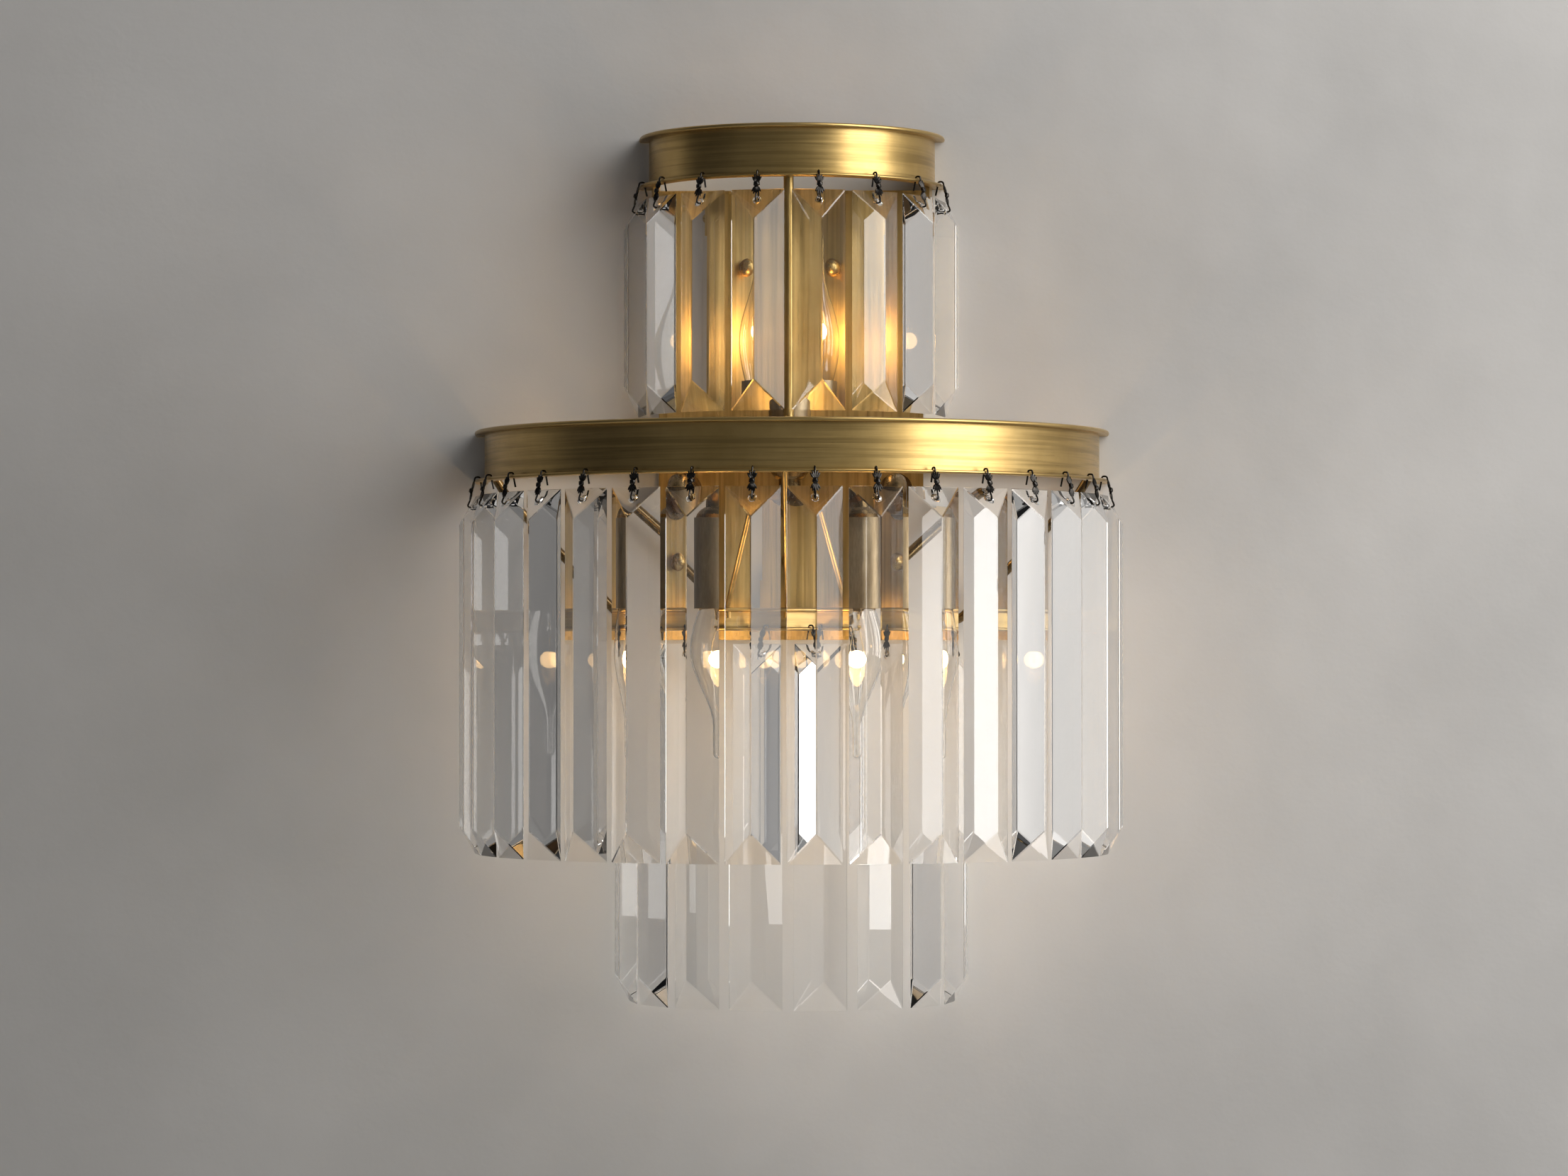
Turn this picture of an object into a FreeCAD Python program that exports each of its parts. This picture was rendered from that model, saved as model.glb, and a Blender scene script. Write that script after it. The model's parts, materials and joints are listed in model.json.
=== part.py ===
"""Crystal wall sconce: three half-round brass rings hung with glass prisms in front of a backplate.

Millimetres. +Z is up, the front faces -Y and the wall is the plane Y = 0. The origin is the
centre of the backplate on the wall.
"""
import FreeCAD, Part
import math
import os
import Sketcher

DOC = FreeCAD.newDocument("crystal_wall_sconce")
SHEET = DOC.addObject("Spreadsheet::Sheet", "Sizes")
UP = FreeCAD.Vector(0, 0, 1)
FORWARD = FreeCAD.Vector(0, -1, 0)
RIGHT = FreeCAD.Vector(1, 0, 0)
NODES = {}


# ---------------------------------------------------------------- driving dimensions

class Size:
    """A length that knows both its number and the sheet expression that gives it."""

    def __init__(self, number, text):
        self.number = number
        self.text = text

    def combined(self, other, sign, number):
        other_text = other.text if isinstance(other, Size) else str(other)
        return Size(number, "(" + self.text + " " + sign + " " + other_text + ")")

    def __add__(self, other):
        return self.combined(other, "+", self.number + plain(other))

    def __sub__(self, other):
        return self.combined(other, "-", self.number - plain(other))

    def __mul__(self, factor):
        return self.combined(factor, "*", self.number * plain(factor))

    def __truediv__(self, divisor):
        return self.combined(divisor, "/", self.number / plain(divisor))

    def __neg__(self):
        return Size(-self.number, "(0 - " + self.text + ")")


def plain(value):
    """The number in a Size or in a plain number."""
    return value.number if isinstance(value, Size) else float(value)


ROWS = 0


def dimension(alias, number):
    """Put one driving dimension in the sheet and return it as a Size."""
    global ROWS
    ROWS += 1
    SHEET.set("A%d" % ROWS, alias)
    SHEET.set("B%d" % ROWS, str(number))
    SHEET.setAlias("B%d" % ROWS, alias)
    return Size(float(number), "Sizes." + alias)


ZERO = Size(0.0, "0")

PLATE_WIDTH = dimension("plate_width", 146)
PLATE_HEIGHT = dimension("plate_height", 248)
PLATE_DEPTH = dimension("plate_depth", 22.5)
PLATE_STEP = dimension("plate_step", 2.0)
PLATE_WALL = dimension("plate_wall", 1.2)
NUT_SPACING = dimension("cap_nut_spacing", 162)
NUT_BALL = dimension("cap_nut_ball", 10.2)
STUD_BORE = dimension("stud_radius", 2.4)
STRAP_WIDTH = dimension("strap_width", 26)
STRAP_THICK = dimension("strap_thickness", 2.5)
BOX_SPACING = dimension("box_screw_spacing", 88.9)
SLOT_WIDTH = dimension("slot_width", 4.8)
SLOT_LENGTH = dimension("slot_length", 12)

BAND_THICK = dimension("band_thickness", 1.5)
FLANGE_REACH = dimension("flange_reach", 5.5)
TOP_FLANGE = dimension("top_flange_thickness", 2.4)
HOOK_FLANGE = dimension("hook_flange_thickness", 1.8)
HOOK_INSET = dimension("hook_inset", 2.5)
HOOK_BORE = dimension("hook_bore_radius", 1.0)

TOP_RIM = dimension("top_ring_rim", 85)
TOP_BOTTOM = dimension("top_ring_bottom", 126.2)
TOP_TALL = dimension("top_ring_height", 28.8)
MIDDLE_RIM = dimension("middle_ring_rim", 176)
MIDDLE_BOTTOM = dimension("middle_ring_bottom", -37.4)
MIDDLE_TALL = dimension("middle_ring_height", 28.8)
LOWER_RIM = dimension("lower_ring_rim", 90)
LOWER_BOTTOM = dimension("lower_ring_bottom", -119.4)
LOWER_TALL = dimension("lower_ring_height", 12.4)

PRISM_WIDTH = dimension("prism_width", 30)
PRISM_DEPTH = dimension("prism_depth", 13.5)
PRISM_FACET = dimension("prism_facet", 16.5)
PRISM_SHORT = dimension("short_prism_length", 120)
PRISM_LONG = dimension("long_prism_length", 198)
PRISM_DROP = dimension("prism_drop", 7.0)
PRISM_SETBACK = dimension("prism_setback", 4.0)
PRISM_BORE = dimension("prism_bore_radius", 1.7)
PRISM_BORE_DROP = dimension("prism_bore_drop", 6.7)

ARM_RADIUS = dimension("arm_radius", 6.0)
ARM_WALL = dimension("arm_wall", 1.2)
ARM_BEND = dimension("arm_bend", 12.0)
LAMP_SPREAD = dimension("lower_lamp_spread", 58)
LAMP_REACH = dimension("lower_lamp_reach", 115)
LAMP_ARM_Z = dimension("lower_arm_height", -41.3)
UPPER_REACH = dimension("upper_lamp_reach", 50)
UPPER_MOUTH = dimension("upper_sleeve_mouth", 17.2)
LOWER_MOUTH = dimension("lower_sleeve_mouth", -108)
SLEEVE_RADIUS = dimension("sleeve_radius", 11.5)
SLEEVE_WALL = dimension("sleeve_wall", 1.0)
SLEEVE_LENGTH = dimension("sleeve_length", 48.5)
CUP_HEIGHT = dimension("cup_height", 5.5)
SOCKET_RADIUS = dimension("socket_radius", 8.6)
SOCKET_BORE = dimension("socket_bore_radius", 6.0)
SOCKET_SETBACK = dimension("socket_setback", 8.0)
SOCKET_DEPTH = dimension("socket_depth", 22.0)
CAP_RADIUS = dimension("lamp_cap_radius", 5.95)
BULB_LENGTH = dimension("bulb_length", 80)
BULB_RADIUS = dimension("bulb_radius", 13.5)
GLASS_WALL = dimension("bulb_glass", 0.8)

POST_RADIUS = dimension("post_radius", 2.75)
POST_REACH = dimension("post_reach", 74.5)
BAR_TOP = dimension("cross_bar_top", -18)
BAR_WIDTH = dimension("cross_bar_width", 10)
BAR_THICK = dimension("cross_bar_thickness", 3)
STAY_RADIUS = dimension("stay_radius", 1.6)
STAY_TOP = dimension("stay_top", -12)
SCROLL_RADIUS = dimension("scroll_radius", 2.5)
SCROLL_REACH = dimension("scroll_reach", 7.5)
WIRE = dimension("clip_wire", 1.0)
SHELL_WIDTH = dimension("clip_shell_width", 5.0)
SHELL_THICK = dimension("clip_shell_thickness", 1.1)

# The tiers: how many prisms hang on a ring, and the angle between neighbours.
SHORT_TIER_COUNT = 8
SHORT_TIER_STEP = 22.5
MIDDLE_TIER_COUNT = 16
MIDDLE_TIER_STEP = 10.6
DOC.recompute()


# ---------------------------------------------------------------- ways of making a piece

def named(node, piece):
    """Give a finished piece its label and list it as a node."""
    piece.Label = node
    NODES[node] = piece
    return piece


def bind(piece, prop, size):
    """Tie one property of a piece to the sheet."""
    piece.setExpression(prop, size.text)


def place(piece, x, y, z):
    """Tie the position of a piece to the sheet."""
    for axis, size in (("x", x), ("y", y), ("z", z)):
        bind(piece, "Placement.Base." + axis, size)


def box(name, low, high):
    """A box between two corners given as Sizes."""
    piece = DOC.addObject("Part::Box", name)
    for prop, a, b in zip(("Length", "Width", "Height"), low, high):
        bind(piece, prop, b - a)
    place(piece, *low)
    return piece


def cylinder(name, radius, length, base, axis=UP):
    """A cylinder from its base point along an axis."""
    piece = DOC.addObject("Part::Cylinder", name)
    bind(piece, "Radius", radius)
    bind(piece, "Height", length)
    piece.Placement.Rotation = FreeCAD.Rotation(UP, axis)
    place(piece, *base)
    return piece


def boolean(kind, name, base, tool):
    piece = DOC.addObject("Part::" + kind, name)
    piece.Base = base
    piece.Tool = tool
    return piece


def fused(name, pieces):
    piece = DOC.addObject("Part::MultiFuse", name)
    piece.Shapes = pieces
    piece.Refine = True
    return piece


def group(name, pieces):
    """Separate solids of one kind, kept in one piece of the document."""
    piece = DOC.addObject("Part::Compound", name)
    piece.Links = pieces
    return piece


def formed(name, shape):
    """A piece whose shape is made directly from solids."""
    piece = DOC.addObject("Part::Feature", name)
    piece.Shape = shape
    return piece


def origin_part(body, role):
    """One of a body's own origin planes or axes."""
    return [part for part in body.Origin.OriginFeatures if part.Role == role][0]


def new_sketch(body, name, role):
    sketch = body.newObject("Sketcher::SketchObject", name)
    sketch.AttachmentSupport = (origin_part(body, role), [""])
    sketch.MapMode = "FlatFace"
    return sketch


def pin(sketch, geometry, point, x, y):
    """Hold one point of a sketch at a place given by the sheet."""
    for kind, size in (("DistanceX", x), ("DistanceY", y)):
        index = sketch.addConstraint(Sketcher.Constraint(kind, -1, 1, geometry, point, size.number))
        sketch.setExpression("Constraints[%d]" % index, size.text)


def outline(sketch, corners):
    """Close a chain of sides through the corners.

    A corner is (x, y), or (x, y, "nose") where the side that starts there is a half-round nose
    that ends straight above it.
    """
    count = len(corners)
    for index, corner in enumerate(corners):
        after = corners[(index + 1) % count]
        start = FreeCAD.Vector(corner[0].number, corner[1].number, 0)
        end = FreeCAD.Vector(after[0].number, after[1].number, 0)
        if corner[-1] == "nose":
            circle = Part.Circle((start + end) / 2, UP, (end - start).Length / 2)
            sketch.addGeometry(Part.ArcOfCircle(circle, -math.pi / 2, math.pi / 2), False)
        else:
            sketch.addGeometry(Part.LineSegment(start, end), False)
    for index, corner in enumerate(corners):
        sketch.addConstraint(Sketcher.Constraint("Coincident", index, 2, (index + 1) % count, 1))
        pin(sketch, index, 1, corner[0], corner[1])
        if corner[-1] == "nose":
            held = sketch.addConstraint(Sketcher.Constraint("DistanceX", -1, 1, index, 3,
                                                            corner[0].number))
            sketch.setExpression("Constraints[%d]" % held, corner[0].text)


def hole_circle(sketch, x, y, radius):
    index = sketch.addGeometry(Part.Circle(FreeCAD.Vector(x.number, y.number, 0), UP, radius.number),
                               False)
    pin(sketch, index, 3, x, y)
    size = sketch.addConstraint(Sketcher.Constraint("Radius", index, radius.number))
    sketch.setExpression("Constraints[%d]" % size, radius.text)


def turned(angle):
    """A turn about the vertical through the origin, in degrees, positive towards +X."""
    return FreeCAD.Placement(FreeCAD.Vector(), FreeCAD.Rotation(UP, angle))


def tier_angles(count, step):
    """Angles of a tier's prisms either side of the front, in degrees."""
    return [(index - (count - 1) / 2) * step for index in range(count)]


def bent_path(corners, bends):
    """Straight runs through the corners, joined by tangent arcs of the given radii."""
    edges = []
    begin = corners[0]
    for before, corner, after, bend in zip(corners, corners[1:], corners[2:], bends):
        back = (before - corner).normalize()
        ahead = (after - corner).normalize()
        half = back.getAngle(ahead) / 2
        reach = bend / math.tan(half)
        middle = corner + (back + ahead).normalize() * (bend / math.sin(half) - bend)
        edges.append(Part.LineSegment(begin, corner + back * reach).toShape())
        edges.append(Part.Arc(corner + back * reach, middle, corner + ahead * reach).toShape())
        begin = corner + ahead * reach
    edges.append(Part.LineSegment(begin, corners[-1]).toShape())
    return Part.Wire(edges)


def round_tube(path, radius):
    """A round rod along a path."""
    start = path.OrderedVertexes[0].Point
    direction = path.OrderedEdges[0].tangentAt(path.OrderedEdges[0].FirstParameter)
    section = Part.Wire(Part.makeCircle(radius, start, direction))
    return path.makePipeShell([section], True, False)


# ---------------------------------------------------------------- backplate and its fixing

def make_backplate():
    """A shallow open-backed pan with a stepped front, drilled for the studs and the bracket screws."""
    body = DOC.addObject("PartDesign::Body", "BackplatePan")
    half_width, half_height = PLATE_WIDTH / 2, PLATE_HEIGHT / 2
    rim = new_sketch(body, "PanRim", "XZ_Plane")
    outline(rim, rectangle(half_width, half_height))
    pad = body.newObject("PartDesign::Pad", "PanRimPad")
    pad.Profile = rim
    bind(pad, "Length", PLATE_DEPTH - PLATE_STEP)
    face = new_sketch(body, "PanFace", "XZ_Plane")
    outline(face, rectangle(half_width - PLATE_STEP, half_height - PLATE_STEP))
    raised = body.newObject("PartDesign::Pad", "PanFacePad")
    raised.Profile = face
    bind(raised, "Length", PLATE_DEPTH)
    inside = new_sketch(body, "PanInside", "XZ_Plane")
    clear = PLATE_STEP + PLATE_WALL
    outline(inside, rectangle(half_width - clear, half_height - clear))
    hollow = body.newObject("PartDesign::Pocket", "PanHollow")
    hollow.Profile = inside
    hollow.Reversed = True
    bind(hollow, "Length", PLATE_DEPTH - PLATE_WALL)
    holes = new_sketch(body, "PanStudHoles", "XZ_Plane")
    for side in (1, -1):
        hole_circle(holes, ZERO, NUT_SPACING * side / 2, STUD_BORE)
    drilled = body.newObject("PartDesign::Pocket", "PanStudPocket")
    drilled.Profile = holes
    drilled.Reversed = True
    bind(drilled, "Length", PLATE_DEPTH + 1)
    body.Tip = drilled
    screws = fused("PanScrewHoles", [screw_shank("Pan", side, name)
                                     for side in (1, -1) for name in SCREW_SPOTS])
    wires = fused("PanWireHoles", [cylinder("PanWireHole%d" % index, ARM_RADIUS - ARM_WALL,
                                            PLATE_DEPTH + 1, (x, ZERO, z), FORWARD)
                                   for index, (x, z) in enumerate(arm_roots())])
    return named("backplate", boolean("Cut", "Backplate", body, fused("PanHoles", [screws, wires])))


def rectangle(half_x, half_y):
    """Corners of a centred rectangle, anticlockwise."""
    return [(-half_x, -half_y), (half_x, -half_y), (half_x, half_y), (-half_x, half_y)]


def arm_roots():
    """Where the three lamp arms leave the backplate, as X and Z."""
    upper_z = UPPER_MOUTH - SLEEVE_LENGTH - CUP_HEIGHT - ARM_BEND
    return [(ZERO, upper_z), (LAMP_SPREAD, LAMP_ARM_Z), (-LAMP_SPREAD, LAMP_ARM_Z)]


def make_mounting_strap():
    """The flat strap that screws to the wall box, slotted for its two screws and tapped for the studs."""
    body = DOC.addObject("PartDesign::Body", "MountingStrap")
    blank = new_sketch(body, "StrapBlank", "XZ_Plane")
    outline(blank, rectangle(STRAP_WIDTH / 2, NUT_SPACING / 2 + 12))
    pad = body.newObject("PartDesign::Pad", "StrapPad")
    pad.Profile = blank
    bind(pad, "Length", STRAP_THICK)
    holes = new_sketch(body, "StrapHoles", "XZ_Plane")
    for side in (1, -1):
        hole_circle(holes, ZERO, NUT_SPACING * side / 2, STUD_BORE)
    hole_circle(holes, ZERO, ZERO, STUD_BORE * 2)
    pocket = body.newObject("PartDesign::Pocket", "StrapPocket")
    pocket.Profile = holes
    pocket.Reversed = True
    bind(pocket, "Length", STRAP_THICK + 1)
    body.Tip = pocket
    slots = []
    for side in (1, -1):
        middle = BOX_SPACING * side / 2
        straight = (SLOT_LENGTH - SLOT_WIDTH) / 2
        for end in (1, -1):
            slots.append(cylinder("SlotEnd", SLOT_WIDTH / 2, STRAP_THICK,
                                  (ZERO, ZERO, middle + straight * end), FORWARD))
        slots.append(box("SlotMiddle", (-SLOT_WIDTH / 2, -STRAP_THICK, middle - straight),
                         (SLOT_WIDTH / 2, ZERO, middle + straight)))
    named("mounting_strap", boolean("Cut", "MountingStrapSlotted", body, fused("StrapSlots", slots)))


def make_studs_and_cap_nuts():
    """Two studs from the strap through the pan, each closed by a ball-headed cap nut."""
    studs = []
    nuts = []
    collar = Size(1.6, "1.6")
    for side in (1, -1):
        height = NUT_SPACING * side / 2
        stud_length = PLATE_DEPTH + NUT_BALL * 0.6
        studs.append(cylinder("Stud", STUD_BORE, stud_length, (ZERO, ZERO, height), FORWARD))
        ball = DOC.addObject("Part::Sphere", "NutBall")
        bind(ball, "Radius", NUT_BALL / 2)
        place(ball, ZERO, -(PLATE_DEPTH + collar * 0.6 + NUT_BALL / 2), height)
        flange = cylinder("NutCollar", NUT_BALL * 0.42, collar, (ZERO, -PLATE_DEPTH, height), FORWARD)
        bore = cylinder("NutBore", STUD_BORE, stud_length, (ZERO, ZERO, height), FORWARD)
        solid = fused("NutSolid", [ball, flange])
        nuts.append(boolean("Cut", "CapNut", solid, bore))
    named("mounting_studs", group("MountingStuds", studs))
    named("ball_cap_nuts", group("BallCapNuts", nuts))


# ---------------------------------------------------------------- rings

def make_ring(node, rim, bottom, tall, count, step):
    """Half of a brass channel ring: a band with a bead-edged top flange and a drilled hook flange."""
    body = DOC.addObject("PartDesign::Body", node.title().replace("_", ""))
    band_out = rim - FLANGE_REACH
    band_in = band_out - BAND_THICK
    hook_nose = rim - HOOK_FLANGE / 2
    top_nose = rim - TOP_FLANGE / 2
    section = new_sketch(body, node + "_section", "XZ_Plane")
    outline(section, [(band_in, ZERO), (hook_nose, ZERO, "nose"), (hook_nose, HOOK_FLANGE),
                      (band_out, HOOK_FLANGE), (band_out, tall - TOP_FLANGE),
                      (top_nose, tall - TOP_FLANGE, "nose"), (top_nose, tall), (band_in, tall)])
    turn = body.newObject("PartDesign::Revolution", node + "_turn")
    turn.Profile = section
    turn.ReferenceAxis = (section, ["V_Axis"])
    turn.Angle = 180
    turn.Reversed = True
    first = tier_angles(count, step)[0]
    hooks = rim - HOOK_INSET
    drill = new_sketch(body, node + "_hook_bore", "XY_Plane")
    hole_circle(drill, hooks * math.sin(math.radians(first)), -hooks * math.cos(math.radians(first)),
                HOOK_BORE)
    bore = body.newObject("PartDesign::Pocket", node + "_hook_pocket")
    bore.Profile = drill
    bore.Reversed = True
    bind(bore, "Length", HOOK_FLANGE + 0.5)
    body.Tip = bore
    DOC.recompute()
    row = body.newObject("PartDesign::PolarPattern", node + "_hook_row")
    row.Originals = [bore]
    row.Axis = (origin_part(body, "Z_Axis"), [""])
    row.Angle = step * (count - 1)
    row.Occurrences = count
    body.Tip = row
    place(body, ZERO, ZERO, bottom)
    named(node, body)


# Where each bracket's screw goes into the side of the pan: its depth from the wall and its height.
SCREW_SPOTS = {"Middle": (10.0, -23.0), "Top": (10.0, 110.0), "Lower": (9.0, -98.0)}
# Each bracket's ring, the heights of its bar, the heights of its foot, and the bar's depth.
BRACKETS = {"Middle": (MIDDLE_RIM, (-30.0, -16.0), (-30.0, -16.0), 4.0),
            "Top": (TOP_RIM, (100.0, 150.0), (100.0, 104.0), 16.0),
            "Lower": (LOWER_RIM, (-119.0, -108.0), (-119.0, -91.0), 14.0)}
SCREW_RADIUS = Size(1.5, "1.5")
SCREW_HEAD = Size(2.8, "2.8")
BRACKET_THICK = Size(3.0, "3.0")


def screw_shank(prefix, side, name):
    """The hole or shank of one bracket's screw."""
    depth, height = SCREW_SPOTS[name]
    inner = PLATE_WIDTH / 2 - 5
    return cylinder(prefix + name + "Shank", SCREW_RADIUS, BRACKET_THICK + 7,
                    (inner * side, Size(-depth, str(-depth)), Size(height, str(height))), RIGHT * side)


def make_ring_brackets():
    """Flat brackets that carry the ring ends on the sides of the backplate."""
    brackets = []
    screws = []
    side_face = PLATE_WIDTH / 2
    for side in (1, -1):
        for name, (rim, bar_heights, foot_heights, span) in BRACKETS.items():
            bar_low, bar_high, foot_low, foot_high = [
                Size(height, str(height)) for height in bar_heights + foot_heights]
            inner = rim - FLANGE_REACH - BAND_THICK
            bar = mirrored_box(name + "Bar", side, side_face, rim, 1.0, span, bar_low, bar_high)
            foot = mirrored_box(name + "Foot", side, side_face, side_face + BRACKET_THICK, 1.0, 16.0,
                                foot_low, foot_high)
            drum = cylinder(name + "Drum", inner, Size(300.0, "300"), (ZERO, ZERO, Size(-140.0, "-140")))
            blank = boolean("Common", name + "Blank", fused(name + "Ell", [bar, foot]), drum)
            brackets.append(boolean("Cut", name + "Bracket", blank, screw_shank(name, side, name)))
            seat = side_face + (Size(4.85, "4.85") if name == "Top" else BRACKET_THICK)
            screws.append(make_screw(side, name, seat))
    named("ring_brackets", group("RingBrackets", brackets))
    named("bracket_screws", group("BracketScrews", screws))


def mirrored_box(name, side, near, far, low_depth, high_depth, bottom, top):
    """A box on the right or left side, from one half-width to another."""
    left, right = (near, far) if side > 0 else (-far, -near)
    return box(name, (left, Size(-high_depth, str(-high_depth)), bottom),
               (right, Size(-low_depth, str(-low_depth)), top))


def make_screw(side, name, seat):
    """A pan-head screw through a bracket into the side of the backplate."""
    depth, height = SCREW_SPOTS[name]
    inner = PLATE_WIDTH / 2 - 5
    spot_y, spot_z = Size(-depth, str(-depth)), Size(height, str(height))
    shank = cylinder("Shank" + name, SCREW_RADIUS, seat - inner, (inner * side, spot_y, spot_z),
                     RIGHT * side)
    head = cylinder("Head" + name, SCREW_HEAD, Size(1.2, "1.2"), (seat * side, spot_y, spot_z),
                    RIGHT * side)
    return fused("Screw" + name, [shank, head])


# ---------------------------------------------------------------- bars, post and stays

def make_cross_bar():
    """The flat bar across the middle ring that carries the foot of the post."""
    inner = MIDDLE_RIM - FLANGE_REACH - BAND_THICK
    half = BAR_WIDTH / 2
    bar = box("BarBlank", (-inner, -(POST_REACH + half), BAR_TOP - BAR_THICK),
              (inner, -(POST_REACH - half), BAR_TOP))
    drum = cylinder("BarDrum", inner, BAR_THICK, (ZERO, ZERO, BAR_TOP - BAR_THICK))
    named("cross_bar", boolean("Common", "CrossBar", bar, drum))


def make_top_post():
    """The round post from the cross bar to the inside of the top ring, with its welded lug."""
    inner = TOP_RIM - FLANGE_REACH - BAND_THICK
    post = cylinder("Post", POST_RADIUS, TOP_BOTTOM + 22 - BAR_TOP, (ZERO, -POST_REACH, BAR_TOP))
    lug_blank = box("PostLugBlank", (-POST_RADIUS, -(inner + 1), TOP_BOTTOM + 6),
                    (POST_RADIUS, -POST_REACH, TOP_BOTTOM + 18))
    drum = cylinder("PostLugDrum", inner, Size(12.0, "12"), (ZERO, ZERO, TOP_BOTTOM + 6))
    lug = boolean("Common", "PostLug", lug_blank, drum)
    named("top_post", fused("TopPost", [post, lug]))


def make_front_stay():
    """The slanting rod from the middle ring's front to the lower ring, with the nut that holds it."""
    inner = plain(MIDDLE_RIM - FLANGE_REACH - BAND_THICK)
    flange_z = plain(LOWER_BOTTOM + LOWER_TALL)
    foot_y = -plain(LOWER_RIM - FLANGE_REACH / 2)
    top = FreeCAD.Vector(0, -inner - 2, plain(STAY_TOP))
    foot = FreeCAD.Vector(0, foot_y, flange_z)
    beyond = foot + (foot - top).normalize() * 3
    rod = Part.makeCylinder(plain(STAY_RADIUS), (beyond - top).Length, top, beyond - top)
    drum = Part.makeCylinder(inner, 200, FreeCAD.Vector(0, 0, flange_z))
    rod = rod.common(drum)
    under = flange_z - plain(TOP_FLANGE)
    nut = Part.makeCylinder(plain(STAY_RADIUS) * 1.5, 3.2, FreeCAD.Vector(0, foot_y, under - 3.2))
    named("front_stay", formed("FrontStay", Part.makeCompound([rod, nut])))


def make_curved_stays():
    """Two bent rods, one each side, from the middle ring's ends down to the lower ring's channel."""
    inner = plain(MIDDLE_RIM - FLANGE_REACH - BAND_THICK)
    band = plain(LOWER_RIM - FLANGE_REACH)
    channel = plain(LOWER_BOTTOM + HOOK_FLANGE / 2 + (LOWER_TALL - TOP_FLANGE) / 2)
    y = -plain(SCROLL_REACH)
    stays = []
    for side in (1, -1):
        corners = [FreeCAD.Vector(side * x, y, z) for x, z in (
            (inner + 3, -22.2), (inner - 11, -44.5), (band + 8, channel), (band - 3, channel))]
        rod = round_tube(bent_path(corners, (30.0, 12.0)), plain(SCROLL_RADIUS))
        outer = Part.makeCylinder(inner, 200, FreeCAD.Vector(0, 0, -150))
        core = Part.makeCylinder(band, 200, FreeCAD.Vector(0, 0, -150))
        stays.append(rod.common(outer).cut(core))
    named("curved_stays", formed("CurvedStays", Part.makeCompound(stays)))


# ---------------------------------------------------------------- lamps

def make_arm(name, x, root_z, reach, tip_z, radius):
    """A tube from the backplate forward and through a quarter bend up or down to a cup."""
    up = 1 if tip_z.number > root_z.number else -1
    run = cylinder(name + "Run", radius, reach - ARM_BEND - PLATE_DEPTH, (x, -PLATE_DEPTH, root_z),
                   FORWARD)
    bend = DOC.addObject("Part::Torus", name + "Bend")
    bind(bend, "Radius1", ARM_BEND)
    bind(bend, "Radius2", radius)
    bend.Angle3 = 90
    centre_z = root_z + ARM_BEND * up
    # The ring lies in the Y-Z plane, and its quarter runs from the tube's end to the upright part.
    towards = FreeCAD.Vector(0, 0, -up)
    bend.Placement.Rotation = FreeCAD.Rotation(towards, FORWARD, towards.cross(FORWARD), "XYZ")
    place(bend, x, -(reach - ARM_BEND), centre_z)
    rise = tip_z - centre_z if up > 0 else centre_z - tip_z
    pieces = [run, bend]
    if rise.number > 0.01:
        start = centre_z if up > 0 else tip_z
        pieces.append(cylinder(name + "Rise", radius, rise, (x, -reach, start)))
    return fused(name, pieces)


def make_arms():
    """The three lamp arms: one that turns up and two that turn down."""
    roots = arm_roots()
    upper_tip = UPPER_MOUTH - SLEEVE_LENGTH - CUP_HEIGHT
    lower_tip = LOWER_MOUTH + SLEEVE_LENGTH + CUP_HEIGHT
    arms = []
    rings = []
    for index, (x, z) in enumerate(roots):
        reach, tip = (UPPER_REACH, upper_tip) if index == 0 else (LAMP_REACH, lower_tip)
        outer = make_arm("ArmOuter%d" % index, x, z, reach, tip, ARM_RADIUS)
        inner = make_arm("ArmInner%d" % index, x, z, reach, tip, ARM_RADIUS - ARM_WALL)
        arms.append(boolean("Cut", "Arm%d" % index, outer, inner))
        blank = cylinder("LockRingBlank%d" % index, ARM_RADIUS + 3, Size(3.0, "3"),
                         (x, -PLATE_DEPTH, z), FORWARD)
        bore = cylinder("LockRingBore%d" % index, ARM_RADIUS, Size(3.0, "3"),
                        (x, -PLATE_DEPTH, z), FORWARD)
        rings.append(boolean("Cut", "LockRing%d" % index, blank, bore))
    named("upper_lamp_arm", arms[0])
    named("lower_lamp_arms", group("LowerLampArms", arms[1:]))
    named("arm_lock_rings", group("ArmLockRings", rings))


def turned_piece(name, corners):
    """A solid of revolution about its own Z axis, from an outline of radii and heights."""
    body = DOC.addObject("PartDesign::Body", name)
    section = new_sketch(body, name + "Section", "XZ_Plane")
    outline(section, corners)
    turn = body.newObject("PartDesign::Revolution", name + "Turn")
    turn.Profile = section
    turn.ReferenceAxis = (section, ["V_Axis"])
    turn.Angle = 360
    body.Tip = turn
    return body


def lamp_places():
    """Each lamp as its X, Y and mouth height, and whether it hangs mouth down."""
    return [(ZERO, -UPPER_REACH, UPPER_MOUTH, False),
            (LAMP_SPREAD, -LAMP_REACH, LOWER_MOUTH, True),
            (-LAMP_SPREAD, -LAMP_REACH, LOWER_MOUTH, True)]


def stand(piece, where):
    """Stand a turned piece at a lamp's mouth, or hang it there upside down."""
    x, y, z, hanging = where
    if hanging:
        piece.Placement.Rotation = FreeCAD.Rotation(RIGHT, 180)
    place(piece, x, y, z)
    return piece


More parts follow.
